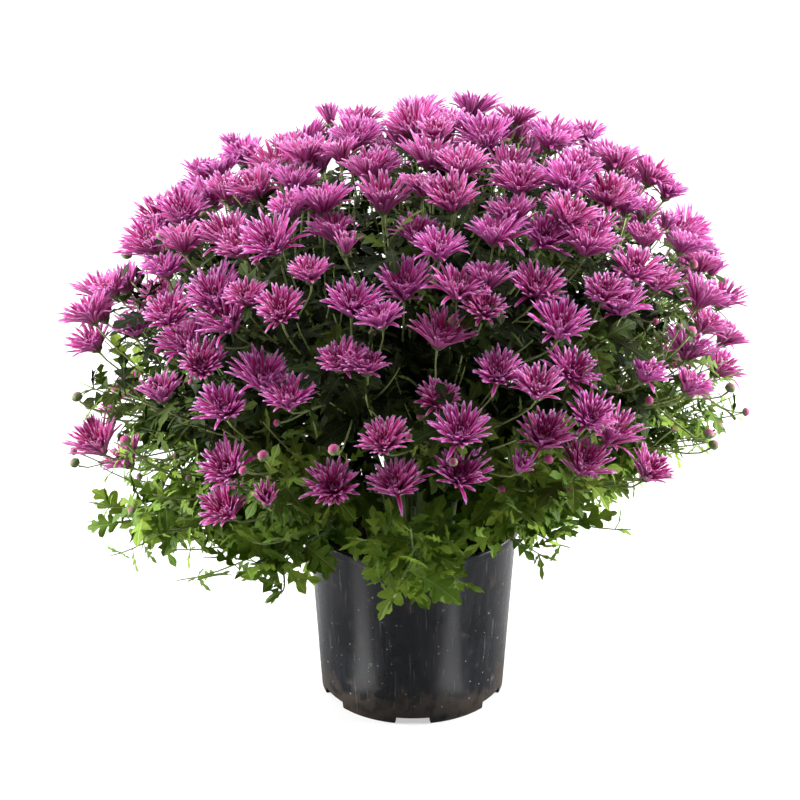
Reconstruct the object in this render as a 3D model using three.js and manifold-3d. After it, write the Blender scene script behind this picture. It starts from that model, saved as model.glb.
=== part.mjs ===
// A pot chrysanthemum: a dome of semi-double pink blooms over lobed leaves, in a black nursery pot.
// Millimetres, +Z up, front towards -Y. The pot stands on Z = 0.
import * as THREE from "three";
import { mergeVertices } from "three/addons/utils/BufferGeometryUtils.js";
import Module from "manifold-3d";

const wasm = await Module();
wasm.setup();

const TAU = Math.PI * 2;
const DEGREE = Math.PI / 180;
const GAP = 0.35;                    // clear space between pieces that touch

// ---- Pot: a 20 cm nursery pot ------------------------------------------------------------------
const POT_HEIGHT = 175;
const POT_RIM_RADIUS = 101.6;
const POT_BASE_RADIUS = 88;
const POT_WALL = 1.8;
const RIM_HEIGHT = 9;                // the rolled rim, thicker than the wall
const RIM_PROUD = 2.4;
const FLOOR_HEIGHT = 7;              // the floor's underside, raised on the foot ring
const FLOOR_THICKNESS = 2.2;
const FOOT_WIDTH = 5;
const POT_SIDES = 32;
const NOTCH_COUNT = 6;
const NOTCH_WIDTH = 33;
const NOTCH_HEIGHT = 6;
const DRAIN_RADIUS_OUT = 66;         // distance of the drain holes from the pot's axis
const DRAIN_SIZE = 9;

// ---- Soil --------------------------------------------------------------------------------------
const SOIL_TOP = 150;
const ROOT_DEPTH = 25;               // how deep each stem stands in its hole

// ---- Dome of the plant: the surface that the petal tips reach ----------------------------------
const DOME_RADIUS = 312;
const DOME_DEPTH_RATIO = 0.95;       // the dome is a little shallower front to back
const CROWN_HEIGHT = 238;            // from the widest level up to the top
const SKIRT_DEPTH = 190;             // from the widest level down
const DOME_LEVEL = 323;              // height of the widest level
const DOME_FULLNESS = 0.87;          // under 1 makes square, full shoulders
const DOME_TILT = 6.8 * DEGREE;      // the right side stands higher than the left
const DOME_X = -2;                   // centre of the dome from the pot's axis
const CROWN_LEAN = 0.12;             // how far crown and skirt lean left, of their height
const SKIRT_LEAN = 0.16;
const LOWEST_FALL = 106 * DEGREE;    // how far down the sides the stems reach
const FAN_HEIGHT = 207;              // the level that all stems fan out from
const FAN_RADIUS = 70;

// ---- Flowering stems and leafy shoots ----------------------------------------------------------
const SPRAY_COUNT = 40;
const SHOOT_COUNT = 10;
const GOLDEN_ANGLE = Math.PI * (3 - Math.sqrt(5));
const STEM_RADIUS = 3.3;
const STEM_TIP_RADIUS = 2.3;
const STEM_SIDES = 3;
const SOIL_SPREAD = 48;              // radius of the patch that the flowering stems stand in
const SHOOT_SPREAD = 63;             // radius of the ring that the leafy shoots stand on
const SHOOT_SLOPE = 7 * DEGREE;      // a shoot's slope at the sides, before the dome's tilt
const SHOOT_REACH = 255;
const SHOOT_OFFSET = 30;             // how much further the shoots reach on the left

// ---- Flowers -----------------------------------------------------------------------------------
const FLOWER_COUNT = 260;
const FLOWER_SPACING = 47;
const FLOWERING = [[0, 1], [52, 1], [72, 0.8], [85, 0.5], [93, 0.08], [125, 0.03]]; // by fall
const LOWEST_FLOWER = 86 * DEGREE;   // at the front and back
const SIDE_DROP = 26 * DEGREE;       // how much lower the flowers go at the sides
const RIGHT_DROP = 1 * DEGREE;       // lower again on the right, which stands higher
const LEFT_SHARE = 0.55;             // share of the flowers that the low left has
const LEFT_FROM = 52 * DEGREE;
const LEFT_TO = 74 * DEGREE;
const SPARSE = 0.42;                 // crowding of the stems low on the sides; 1 on the crown
const SPARSE_FROM = 68 * DEGREE;
const SPARSE_TO = 100 * DEGREE;
const BUDS = [0.03, 0.2];            // share of closed buds on the crown and low on the sides
const UNOPENED = [0.08, 0.34];       // share of buds and half-open blooms together
const BLOOM_RADIUS = 25;
const BLOOM_DEPTH = 0.8;             // from the dome to a bloom's calyx, of the bloom's radius
const SUNKEN = 26;                   // how far the deepest blooms sit below the dome
const STRAY = 26;                    // the blooms stray within a box of this size
const UP_LEAN = 1.4;                 // how far the blooms turn up to the light
const FACING_STRAY = 1.1;
const ONWARD = 0.75;                  // least share of a bloom's facing that follows its stalk
const BLOOM_PETALS = 6;
const HALF_OPEN_PETALS = 4;
const HALF_OPENING = 0.62;
const STALK_RADIUS = 3;
const STALK_ROOT = 0.67;             // where stalks leave their stem, of its reach

// ---- Leaves ------------------------------------------------------------------------------------
const CLUMP_TIPS = 5;                // leaf tips in each tier of a stem's leafy clump
const CLUMP_FOOT = 0.47;             // the clump's lower and upper end, of the stem's reach
const CLUMP_CROWN = 0.8;
const CLUMP_TIERS = [{ level: 0.6, width: 0.95, turn: 0 }, { level: 0.76, width: 0.86, turn: 1 }];
const BARE_RAISE = 1.18;             // how much higher a clump without flowers over it stands
const CLUMP_HOLLOW = 0.55;           // width between two leaf tips, of the width at the tips
const CLUMP_RADIUS = 62;
const SHOOT_CLUMP_RADIUS = 40;
const LEAF_LENGTH = 60;
const LEAF_RIB = 0.9;                // half the blade's thickness along its rib
const LEAF_DROOP = 0.22;
const LOW_FALL = 80 * DEGREE;        // stems that lean out further also bear low single leaves

const up = new THREE.Vector3(0, 0, 1);
const fanCentre = new THREE.Vector3(0, 0, FAN_HEIGHT);

const mix = (from, to, share) => from + (to - from) * share;

// A fixed draw between 0 and 1 for one trait of one item, the same every time.
function draw(item, trait) {
  const wave = Math.sin(item * 12.9898 + trait * 78.233) * 43758.5453;
  return wave - Math.floor(wave);
}

const turnOf = (heading) => Math.atan2(heading.y, heading.x);

const around = (angle, radius, z) =>
  new THREE.Vector3(radius * Math.cos(angle), radius * Math.sin(angle), z);

// ---- Layout ------------------------------------------------------------------------------------

// A point of the dome: turn is the compass angle, fall the angle down from the crown.
function domePoint(turn, fall) {
  const spread = Math.pow(Math.sin(fall), DOME_FULLNESS);
  const rise = Math.cos(fall) * (fall < Math.PI / 2 ? CROWN_HEIGHT : SKIRT_DEPTH);
  const along = DOME_RADIUS * Math.cos(turn) * spread;
  const lean = CROWN_LEAN * Math.max(rise, 0) - SKIRT_LEAN * Math.min(rise, 0);
  return new THREE.Vector3(
    DOME_X + along - lean,
    DOME_RADIUS * DOME_DEPTH_RATIO * Math.sin(turn) * spread,
    DOME_LEVEL + along * Math.tan(DOME_TILT) + rise);
}

// Stems crowd the crown and thin out down the sides.
function crowding(fall) {
  return mix(1, SPARSE, THREE.MathUtils.smoothstep(fall, SPARSE_FROM, SPARSE_TO));
}

// How much further down the flowers go at a turn than at the front.
const drop = (turn) => SIDE_DROP * Math.cos(turn) ** 2 + RIGHT_DROP * Math.cos(turn);

// Flowers crowd the crown, thin out towards the widest level and all but stop below it.
function flowering(fall, turn = Math.PI / 2) {
  const angle = (fall - drop(turn)) / DEGREE;
  const next = FLOWERING.findIndex(([at]) => at >= angle);
  if (next < 1) return FLOWERING[next < 0 ? FLOWERING.length - 1 : 0][1];
  const [[low, from], [high, to]] = [FLOWERING[next - 1], FLOWERING[next]];
  return mix(from, to, (angle - low) / (high - low));
}

// The falls that share the dome out by that density, for a spiral of count points.
function spiralFalls(count, density) {
  const steps = 400;
  const total = [0];
  for (let i = 1; i <= steps; i++) {
    const fall = LOWEST_FALL * (i - 0.5) / steps;
    const ring = Math.pow(Math.sin(fall), DOME_FULLNESS);
    const slope = Math.hypot(DOME_RADIUS * Math.cos(fall), CROWN_HEIGHT * Math.sin(fall));
    total.push(total[i - 1] + ring * slope * density(fall));
  }
  return Array.from({ length: count }, (_, k) => {
    const goal = total[steps] * (k + 0.5) / count;
    const next = total.findIndex((value) => value >= goal);
    const share = (goal - total[next - 1]) / (total[next] - total[next - 1]);
    return LOWEST_FALL * (next - 1 + share) / steps;
  });
}

// Directions of the flowering stems, fanned out from the fan centre.
function layOutSprays() {
  return spiralFalls(SPRAY_COUNT, crowding).map((fall, k) => {
    const turn = k * GOLDEN_ANGLE + 0.5;
    const reach = domePoint(turn, fall).sub(fanCentre);
    const spread = Math.sqrt((1 - Math.cos(fall)) / (1 - Math.cos(LOWEST_FALL)));
    return {
      name: `spray_${String(k).padStart(2, "0")}`,
      fall,
      reach: reach.length(),
      heading: reach.clone().normalize(),
      foot: SOIL_SPREAD * spread,
      clumpRadius: CLUMP_RADIUS,
      flowers: [],
    };
  });
}

// The flowers' places on the dome, pushed apart until they crowd it evenly.
function flowerTips() {
  const angles = spiralFalls(FLOWER_COUNT, (fall) => flowering(fall)).map((along, k) => {
    const turn = k * GOLDEN_ANGLE;
    const fall = Math.min(along, LOWEST_FLOWER);
    return { turn, fall: fall + drop(turn) * (fall / LOWEST_FLOWER) ** 4 };
  });
  for (let round = 0; round < 24; round++) {
    const points = angles.map(({ turn, fall }) => domePoint(turn, fall));
    angles.forEach((angle, k) => {
      const spacing = FLOWER_SPACING / Math.sqrt(flowering(angle.fall, angle.turn));
      const push = new THREE.Vector3();
      points.forEach((point, other) => {
        const away = points[k].clone().sub(point);
        const distance = away.length();
        if (other !== k && distance < spacing) push.addScaledVector(away, 0.3 * (spacing / distance - 1));
      });
      const eastward = new THREE.Vector3(-Math.sin(angle.turn), Math.cos(angle.turn), 0);
      const downward = domePoint(angle.turn, angle.fall + 0.01).sub(points[k]);
      const stretch = downward.length();
      const ring = DOME_RADIUS * Math.max(Math.sin(angle.fall), 0.05);
      angle.turn += push.dot(eastward) / ring;
      angle.fall += 0.01 * push.dot(downward) / (stretch * stretch);
      angle.fall = THREE.MathUtils.clamp(angle.fall, 0.03, LOWEST_FLOWER + drop(angle.turn));
    });
  }
  return angles;
}

// Every flower of the dome goes to the stem whose heading is nearest.
function layOutFlowers(sprays) {
  flowerTips().forEach(({ turn, fall }, k) => {
    const left = Math.max(-Math.cos(turn), 0) * THREE.MathUtils.smoothstep(fall, LEFT_FROM, LEFT_TO);
    if (draw(k, 12) > mix(1, LEFT_SHARE, left)) return;
    const tip = domePoint(turn, fall);
    const heading = tip.clone().sub(fanCentre).normalize();
    const spray = sprays.reduce((best, other) =>
      other.heading.dot(heading) > best.heading.dot(heading) ? other : best);
    const low = THREE.MathUtils.smoothstep(fall, SPARSE_FROM, SPARSE_TO);
    const pick = draw(k, 3);
    const kind = pick < mix(...BUDS, low) ? "bud" : pick < mix(...UNOPENED, low) ? "half" : "open";
    const facing = tip.clone().sub(new THREE.Vector3(DOME_X, 0, DOME_LEVEL - 110)).normalize();
    facing.addScaledVector(up, UP_LEAN);
    facing.x += FACING_STRAY * (draw(k, 4) - 0.5);
    facing.y += FACING_STRAY * (draw(k, 5) - 0.5);
    facing.normalize();
    facing.addScaledVector(heading, Math.max(0, ONWARD - facing.dot(heading))).normalize();
    const size = { open: mix(0.78, 1.18, draw(k, 6)), half: mix(0.5, 0.66, draw(k, 6)), bud: 0.2 };
    const radius = BLOOM_RADIUS * size[kind];
    const depth = radius * BLOOM_DEPTH + SUNKEN * draw(k, 7) ** 2;
    const base = tip.clone().addScaledVector(heading, -depth).add(new THREE.Vector3(
      draw(k, 9) - 0.5, draw(k, 10) - 0.5, 0.6 * (draw(k, 11) - 0.5)).multiplyScalar(STRAY));
    spray.flowers.push({ index: k, kind, base, facing, radius });
  });
}

// ---- Solids from points and triangles ----------------------------------------------------------

function solidFrom(points, triangles) {
  const mesh = new wasm.Mesh({
    numProp: 3,
    vertProperties: Float32Array.from(points.flatMap((p) => [p.x, p.y, p.z])),
    triVerts: Uint32Array.from(triangles.flat()),
  });
  return new wasm.Manifold(mesh);
}

function solidFromGeometry(geometry) {
  geometry.deleteAttribute("normal");
  geometry.deleteAttribute("uv");
  const merged = mergeVertices(geometry, 1e-3);
  return new wasm.Manifold(new wasm.Mesh({
    numProp: 3,
    vertProperties: Float32Array.from(merged.attributes.position.array),
    triVerts: Uint32Array.from(merged.index.array),
  }));
}

function meshFrom(name, solid, material) {
  const { vertProperties, triVerts } = solid.getMesh();
  const geometry = new THREE.BufferGeometry();
  geometry.setAttribute("position", new THREE.BufferAttribute(Float32Array.from(vertProperties), 3));
  geometry.setIndex(new THREE.BufferAttribute(Uint32Array.from(triVerts), 1));
  geometry.computeVertexNormals();
  const mesh = new THREE.Mesh(geometry, material);
  mesh.name = name;
  return mesh;
}

// A right-handed frame whose z axis is the given heading.
function frameAlong(heading, hint = up) {
  const z = heading.clone().normalize();
  let x = new THREE.Vector3().crossVectors(hint, z);
  if (x.lengthSq() < 1e-4) x = new THREE.Vector3().crossVectors(new THREE.Vector3(1, 0, 0), z);
  x.normalize();
  return { x, y: new THREE.Vector3().crossVectors(z, x), z };
}

const place = (origin, frame, x, y, z) => origin.clone()
  .addScaledVector(frame.x, x).addScaledVector(frame.y, y).addScaledVector(frame.z, z);

// A flat star of outline points closed by one point above and one below it.
function lens(outline, top, bottom) {
  const count = outline.length;
  const triangles = [];
  for (let i = 0; i < count; i++) {
    const next = (i + 1) % count;
    triangles.push([i, next, count], [next, i, count + 1]);
  }
  return solidFrom([...outline, top, bottom], triangles);
}

// ---- Plant pieces ------------------------------------------------------------------------------

// A stem through a list of points in the upright plane of its turn, tapering to its tip.
function stem(points, turn, thickness, tipThickness) {
  const rings = [];
  points.forEach((point, i) => {
    const before = points[Math.max(i - 1, 0)];
    const after = points[Math.min(i + 1, points.length - 1)];
    const frame = frameAlong(after.clone().sub(before), around(turn + Math.PI / 2, 1, 0));
    const radius = mix(thickness, tipThickness, i / (points.length - 1));
    for (let s = 0; s < STEM_SIDES; s++) {
      const angle = TAU * s / STEM_SIDES;
      rings.push(place(point, frame, radius * Math.cos(angle), radius * Math.sin(angle), 0));
    }
  });
  const triangles = [[0, 2, 1]];
  for (let i = 0; i + 1 < points.length; i++) {
    for (let s = 0; s < STEM_SIDES; s++) {
      const a = i * STEM_SIDES + s;
      const b = i * STEM_SIDES + (s + 1) % STEM_SIDES;
      triangles.push([a, b, b + STEM_SIDES], [a, b + STEM_SIDES, a + STEM_SIDES]);
    }
  }
  const last = (points.length - 1) * STEM_SIDES;
  triangles.push([last, last + 1, last + 2]);
  return solidFrom(rings, triangles);
}

// A cup of petals on its calyx and stalk. Long outer petals and short, upright inner ones take turns.
function bloom(flower, root) {
  const { base, facing, radius } = flower;
  const petals = flower.kind === "half" ? HALF_OPEN_PETALS : BLOOM_PETALS;
  const opening = flower.kind === "half" ? HALF_OPENING : 1;
  const frame = frameAlong(facing);
  const spin = TAU * draw(flower.index, 8);
  const points = [];
  for (let p = 0; p < petals; p++) {
    const inner = p % 2 === 1;
    const length = inner ? 0.78 : 1 + 0.16 * (draw(flower.index, 20 + p) - 0.5);
    const rise = inner ? 1.02 : 0.74 - 0.3 * (draw(flower.index, 30 + p) - 0.3);
    const angle = spin + TAU * p / petals;
    points.push(place(base, frame, opening * radius * length * Math.cos(angle),
      opening * radius * length * Math.sin(angle), radius * rise / opening));
    const between = angle + Math.PI / petals;
    points.push(place(base, frame, opening * radius * 0.5 * Math.cos(between),
      opening * radius * 0.5 * Math.sin(between), radius * 0.5));
  }
  const rim = points.length;
  points.push(place(base, frame, 0, 0, radius * 0.78));
  const centre = rim;
  for (let s = 0; s < 3; s++) {
    const angle = spin + TAU * s / 3;
    points.push(place(base, frame, STALK_RADIUS * Math.cos(angle), STALK_RADIUS * Math.sin(angle), 0));
  }
  const calyx = rim + 1;
  const far = points.push(root.clone()) - 1;
  const nearest = (i) => Math.round(3 * i / rim) % 3;
  const triangles = [];
  for (let i = 0; i < rim; i++) {
    const next = (i + 1) % rim;
    triangles.push([i, next, centre]);
    triangles.push([next, i, calyx + nearest(i)]);
    if (nearest(i) !== nearest(next)) {
      triangles.push([next, calyx + nearest(i), calyx + nearest(next)]);
    }
  }
  for (let s = 0; s < 3; s++) triangles.push([calyx + s, far, calyx + (s + 1) % 3]);
  return solidFrom(points, triangles);
}

// A closed bud: a fat three-sided point on its stalk.
function bud(flower, root) {
  const frame = frameAlong(flower.facing);
  const ring = [0, 1, 2].map((s) => place(flower.base, frame,
    flower.radius * Math.cos(TAU * s / 3), flower.radius * Math.sin(TAU * s / 3), 0));
  return lens(ring, place(flower.base, frame, 0, 0, flower.radius * 1.5), root);
}

// One lobed leaf, arched across its rib. Shares are of its length, from the root to the tip.
const LEAF_OUTLINE = [[0, 0], [0.36, 0.28], [0.52, 0.14], [0.72, 0.24], [1, 0]];
function leaf(root, heading, face, length) {
  const along = heading.clone().normalize();
  const side = new THREE.Vector3().crossVectors(face, along).normalize();
  const frame = { x: along, y: side, z: new THREE.Vector3().crossVectors(along, side) };
  const at = ([share, half], sign) =>
    place(root, frame, share * length, sign * half * length, -(share ** 2) * LEAF_DROOP * length);
  const rightHalf = LEAF_OUTLINE.slice(0, -1).map((point) => at(point, -1));
  const leftHalf = LEAF_OUTLINE.slice(1).reverse().map((point) => at(point, 1));
  const rise = 0.03 * length;
  return lens([...rightHalf, ...leftHalf], place(root, frame, 0.52 * length, 0, rise + LEAF_RIB),
    place(root, frame, 0.52 * length, 0, rise - LEAF_RIB));
}

// The leafy clump under a stem's flowers: two tiers of leaf tips and the hollows between them,
// as wide as the neighbouring stems leave room for. Stems without flowers are leafy up to their tips.
function clump(owner, stems, seed) {
  const frame = frameAlong(owner.heading);
  const raise = owner.flowers && owner.flowers.length === 0 ? BARE_RAISE : 1;
  const on = (share) => fanCentre.clone().addScaledVector(owner.heading, owner.reach * share);
  const points = [];
  CLUMP_TIERS.forEach((tier, t) => {
    for (let i = 0; i < 2 * CLUMP_TIPS; i++) {
      const angle = TAU * (i + tier.turn) / (2 * CLUMP_TIPS) + TAU * draw(seed, 12);
      const outward = frame.x.clone().multiplyScalar(Math.cos(angle))
        .addScaledVector(frame.y, Math.sin(angle));
      const tip = i % 2 === 0;
      const lift = (tip ? 0.035 : -0.02) + 0.03 * (draw(seed, 70 + 20 * t + i) - 0.5);
      const level = tier.level * raise + lift;
      const room = Math.min(owner.clumpRadius, ...stems.map(({ heading }) => {
        const lean = outward.dot(heading);
        if (heading === owner.heading || lean <= 0.01) return owner.clumpRadius;
        return level * owner.reach * (1 - heading.dot(owner.heading)) / lean - 2 * GAP;
      }));
      const width = room * tier.width * (tip ? 1 : CLUMP_HOLLOW);
      points.push(on(level).addScaledVector(outward, width));
    }
  });
  const count = 2 * CLUMP_TIPS;
  const foot = points.push(on(CLUMP_FOOT)) - 1;
  const crown = points.push(on(CLUMP_CROWN * raise)) - 1;
  const triangles = [];
  for (let i = 0; i < count; i++) {
    const next = (i + 1) % count;
    triangles.push([next, i, foot], [count + i, count + next, crown]);
    triangles.push([i, next, count + i], [next, count + next, count + i]);
  }
  return solidFrom(points, triangles);
}

// ---- Stems with what grows on them -------------------------------------------------------------

// Each stem stands upright in its hole, leans out, and then follows its heading.
function stemPath(heading, foot, reach) {
  const turn = turnOf(heading);
  return [
    around(turn, foot, SOIL_TOP - ROOT_DEPTH),
    around(turn, foot, SOIL_TOP + 3),
    fanCentre.clone().addScaledVector(heading, FAN_RADIUS),
    fanCentre.clone().addScaledVector(heading, reach),
  ];
}

// The parts of a stem, each with a way to make it smaller where it would cross a neighbour.
function sprayParts(spray, stems, index) {
  const on = (share) => fanCentre.clone().addScaledVector(spray.heading, spray.reach * share);
  const path = stemPath(spray.heading, spray.foot, spray.reach * 0.6);
  const parts = [{ scale: 1, make: () =>
    stem(path, turnOf(spray.heading), STEM_RADIUS, STEM_TIP_RADIUS) }];
  parts.push({ scale: 1, make: () => clump(spray, stems, index) });
  for (const flower of spray.flowers) {
    const root = on(STALK_ROOT).lerp(flower.base, 0.08);
    const build = flower.kind === "bud" ? bud : bloom;
    parts.push({ scale: 1, make: (scale) => build({ ...flower, radius: flower.radius * scale }, root) });
  }
  const lowLeaves = spray.fall > LOW_FALL ? 2 : 0;
  for (let i = 0; i < lowLeaves; i++) {
    const side = new THREE.Vector3().crossVectors(up, spray.heading).normalize();
    const heading = spray.heading.clone().multiplyScalar(0.25)
      .addScaledVector(side, i ? 0.75 : -0.75).addScaledVector(up, -0.55);
    const face = up.clone().addScaledVector(spray.heading, 0.5);
    parts.push({ scale: 1, make: (scale) =>
      leaf(on(0.38 + 0.07 * i), heading, face, LEAF_LENGTH * scale) });
  }
  return parts;
}

// Two leaves hang beside a shoot, next to the pot, and one reaches out beyond its tip.
const SHOOT_LEAVES = [
  { level: 0.46, ahead: 0.25, sideways: 0.85, hang: 0.6 },
  { level: 0.5, ahead: 0.25, sideways: -0.85, hang: 0.6 },
  { level: 0.84, ahead: 1, sideways: 0.1, hang: 0.15 },
];
function shootParts(shoot, stems, index) {
  const on = (share) => fanCentre.clone().addScaledVector(shoot.heading, shoot.reach * share);
  const path = stemPath(shoot.heading, shoot.foot, shoot.reach * 0.86);
  const parts = [{ scale: 1, make: () =>
    stem(path, turnOf(shoot.heading), STEM_RADIUS * 0.9, STEM_TIP_RADIUS * 0.8) }];
  parts.push({ scale: 1, make: (scale) =>
    clump({ ...shoot, clumpRadius: shoot.clumpRadius * scale }, stems, index) });
  const side = new THREE.Vector3().crossVectors(up, shoot.heading).normalize();
  SHOOT_LEAVES.forEach(({ level, ahead, sideways, hang }, i) => {
    const heading = shoot.heading.clone().multiplyScalar(ahead).addScaledVector(side, sideways)
      .addScaledVector(up, -hang * mix(0.7, 1.3, draw(index, 50 + i)));
    const face = up.clone().addScaledVector(shoot.heading, 0.9);
    const length = LEAF_LENGTH * mix(0.9, 1.08, draw(index, 60 + i));
    parts.push({ scale: 1, make: (scale) => leaf(on(level), heading, face, length * scale) });
  });
  return parts;
}

// ---- Pot and soil ------------------------------------------------------------------------------

const wallRadius = (z) => mix(POT_BASE_RADIUS, POT_RIM_RADIUS - RIM_PROUD, z / POT_HEIGHT);

function turned(profile) {
  const points = profile.map(([radius, z]) => new THREE.Vector2(radius, z));
  const geometry = new THREE.LatheGeometry(points, POT_SIDES, 0, TAU);
  geometry.rotateX(Math.PI / 2);
  return solidFromGeometry(geometry);
}

function box(width, depth, height, turn, out, z) {
  const geometry = new THREE.BoxGeometry(width, depth, height);
  geometry.translate(out, 0, z);
  geometry.rotateZ(turn);
  return solidFromGeometry(geometry);
}

function makePot() {
  const rimBottom = POT_HEIGHT - RIM_HEIGHT;
  const floorTop = FLOOR_HEIGHT + FLOOR_THICKNESS;
  let pot = turned([
    [0, FLOOR_HEIGHT],
    [wallRadius(0) - FOOT_WIDTH, FLOOR_HEIGHT],
    [wallRadius(0) - FOOT_WIDTH, 0],
    [wallRadius(0), 0],
    [wallRadius(rimBottom), rimBottom],
    [POT_RIM_RADIUS, rimBottom],
    [POT_RIM_RADIUS, POT_HEIGHT - 1.5],
    [POT_RIM_RADIUS - 1.5, POT_HEIGHT],
    [wallRadius(POT_HEIGHT) - POT_WALL, POT_HEIGHT],
    [wallRadius(floorTop) - POT_WALL, floorTop],
    [0, floorTop],
  ]);
  for (let i = 0; i < NOTCH_COUNT; i++) {
    const turn = -Math.PI / 2 + TAU * i / NOTCH_COUNT;
    pot = pot.subtract(box(20, NOTCH_WIDTH, 2 * NOTCH_HEIGHT, turn, POT_BASE_RADIUS, 0));
    pot = pot.subtract(box(DRAIN_SIZE, DRAIN_SIZE, 4 * FLOOR_THICKNESS, turn, DRAIN_RADIUS_OUT,
      FLOOR_HEIGHT + FLOOR_THICKNESS / 2));
  }
  return pot;
}

function makeSoil(stems) {
  const bottom = FLOOR_HEIGHT + FLOOR_THICKNESS + GAP;
  let soil = turned([
    [0, bottom],
    [wallRadius(bottom) - POT_WALL - GAP, bottom],
    [wallRadius(SOIL_TOP) - POT_WALL - GAP, SOIL_TOP],
    [0, SOIL_TOP],
  ]);
  for (const { heading, foot } of stems) {
    const turn = turnOf(heading);
    const ends = [around(turn, foot, SOIL_TOP - ROOT_DEPTH - 2 * GAP), around(turn, foot, SOIL_TOP + 3)];
    const hole = stem(ends, turn, STEM_RADIUS + 3 * GAP, STEM_RADIUS + 3 * GAP);
    soil = soil.subtract(hole);
  }
  return soil;
}

// ---- Assembly ----------------------------------------------------------------------------------

const SHRINK = 0.9;
const MOST_ROUNDS = 12;

function makePart(part, node) {
  part.solid = part.make(part.scale);
  part.node = node;
  part.bounds = part.solid.boundingBox();
}

const apart = (a, b) => [0, 1, 2].some((i) =>
  a.bounds.min[i] > b.bounds.max[i] + GAP || b.bounds.min[i] > a.bounds.max[i] + GAP);

// Petals and leaves give way until every stem's parts stand clear of every other's and of the pot.
function clearParts(parts, fixed) {
  for (let round = 0; round < MOST_ROUNDS; round++) {
    const crossing = new Set();
    parts.forEach((part, i) => {
      for (const other of [...fixed, ...parts.slice(i + 1)]) {
        if (other.node === part.node || apart(part, other)) continue;
        if (part.solid.minGap(other.solid, GAP) >= GAP) continue;
        crossing.add(part);
        if (!fixed.includes(other)) crossing.add(other);
      }
    });
    if (crossing.size === 0) break;
    for (const part of crossing) {
      part.scale *= SHRINK;
      makePart(part, part.node);
    }
  }
}

const sprays = layOutSprays();
layOutFlowers(sprays);
const shoots = Array.from({ length: SHOOT_COUNT }, (_, i) => {
  const turn = TAU * (i + 0.5) / SHOOT_COUNT;
  const slope = SHOOT_SLOPE + DOME_TILT * Math.cos(turn);
  return {
    name: `shoot_${String(i).padStart(2, "0")}`,
    heading: around(turn, Math.cos(slope), Math.sin(slope)),
    foot: SHOOT_SPREAD,
    reach: SHOOT_REACH - SHOOT_OFFSET * Math.cos(turn),
    clumpRadius: SHOOT_CLUMP_RADIUS,
  };
});
const stems = [...sprays, ...shoots];

const petalMaterial = new THREE.MeshStandardMaterial({ color: 0xc0459b, roughness: 0.6 });
const leafMaterial = new THREE.MeshStandardMaterial({ color: 0x4c6b2c, roughness: 0.6 });
const potMaterial = new THREE.MeshStandardMaterial({ color: 0x17181b, roughness: 0.3 });
const soilMaterial = new THREE.MeshStandardMaterial({ color: 0x3a2b20, roughness: 1 });

const plant = new THREE.Group();
const pot = { solid: makePot(), node: "pot" };
const soil = { solid: makeSoil(stems), node: "soil" };
for (const piece of [pot, soil]) piece.bounds = piece.solid.boundingBox();

const parts = [];
sprays.forEach((spray, i) => sprayParts(spray, stems, i).forEach((part) => {
  makePart(part, spray.name);
  parts.push(part);
}));
shoots.forEach((shoot, i) => shootParts(shoot, stems, i + SPRAY_COUNT).forEach((part) => {
  makePart(part, shoot.name);
  parts.push(part);
}));
clearParts(parts, [pot, soil]);

plant.add(meshFrom("pot", pot.solid, potMaterial));
plant.add(meshFrom("soil", soil.solid, soilMaterial));
for (const { name } of stems) {
  const own = parts.filter((part) => part.node === name).map((part) => part.solid);
  const material = name.startsWith("spray") ? petalMaterial : leafMaterial;
  plant.add(meshFrom(name, wasm.Manifold.union(own), material));
}

// The origin is the middle of the whole plant's box, on the ground.
const middle = new THREE.Box3().setFromObject(plant).getCenter(new THREE.Vector3());
plant.position.set(-middle.x, -middle.y, 0);

export default plant;
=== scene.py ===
# %% [markdown]
# # A pot chrysanthemum
# A pot chrysanthemum is grown as one dense cushion: many stems fan out from the pot, each one ends in a
# spray of blooms, and the leaves fill the space underneath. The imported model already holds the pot, the
# soil, forty flowering sprays and ten leafy shoots as plain solids. This lesson keeps where each of them
# stands, and grows the fine plant around the same lines: strap petals, lobed leaves, stalks and buds.

# %% Load the fixed frame
import math

import bpy
import numpy as np
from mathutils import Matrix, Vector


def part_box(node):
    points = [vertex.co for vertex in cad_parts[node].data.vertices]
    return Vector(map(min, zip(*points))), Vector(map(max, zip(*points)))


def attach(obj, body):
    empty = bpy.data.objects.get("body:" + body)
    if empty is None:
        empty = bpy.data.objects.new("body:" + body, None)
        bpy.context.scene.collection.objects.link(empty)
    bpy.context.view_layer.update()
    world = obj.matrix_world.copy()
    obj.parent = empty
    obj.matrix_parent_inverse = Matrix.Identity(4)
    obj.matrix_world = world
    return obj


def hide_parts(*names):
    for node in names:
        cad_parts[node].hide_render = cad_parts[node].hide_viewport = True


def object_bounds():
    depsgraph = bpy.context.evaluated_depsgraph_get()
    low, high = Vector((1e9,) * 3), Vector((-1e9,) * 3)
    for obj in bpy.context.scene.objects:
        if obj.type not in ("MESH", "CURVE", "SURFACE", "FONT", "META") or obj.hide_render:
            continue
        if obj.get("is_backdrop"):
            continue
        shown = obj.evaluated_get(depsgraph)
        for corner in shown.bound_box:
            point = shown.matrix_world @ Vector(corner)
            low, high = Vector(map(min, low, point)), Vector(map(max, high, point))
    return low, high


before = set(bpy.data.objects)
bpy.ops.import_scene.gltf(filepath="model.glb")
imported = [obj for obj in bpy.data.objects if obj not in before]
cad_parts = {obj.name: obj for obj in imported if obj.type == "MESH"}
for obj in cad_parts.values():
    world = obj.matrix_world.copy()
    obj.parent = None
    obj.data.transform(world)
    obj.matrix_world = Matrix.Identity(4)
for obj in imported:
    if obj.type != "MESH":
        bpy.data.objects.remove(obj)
cad_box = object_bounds()
pot_low, pot_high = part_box("pot")
POT_AXIS = np.array([(pot_low.x + pot_high.x) / 2, (pot_low.y + pot_high.y) / 2, 0.0])
MM = 0.001
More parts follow.
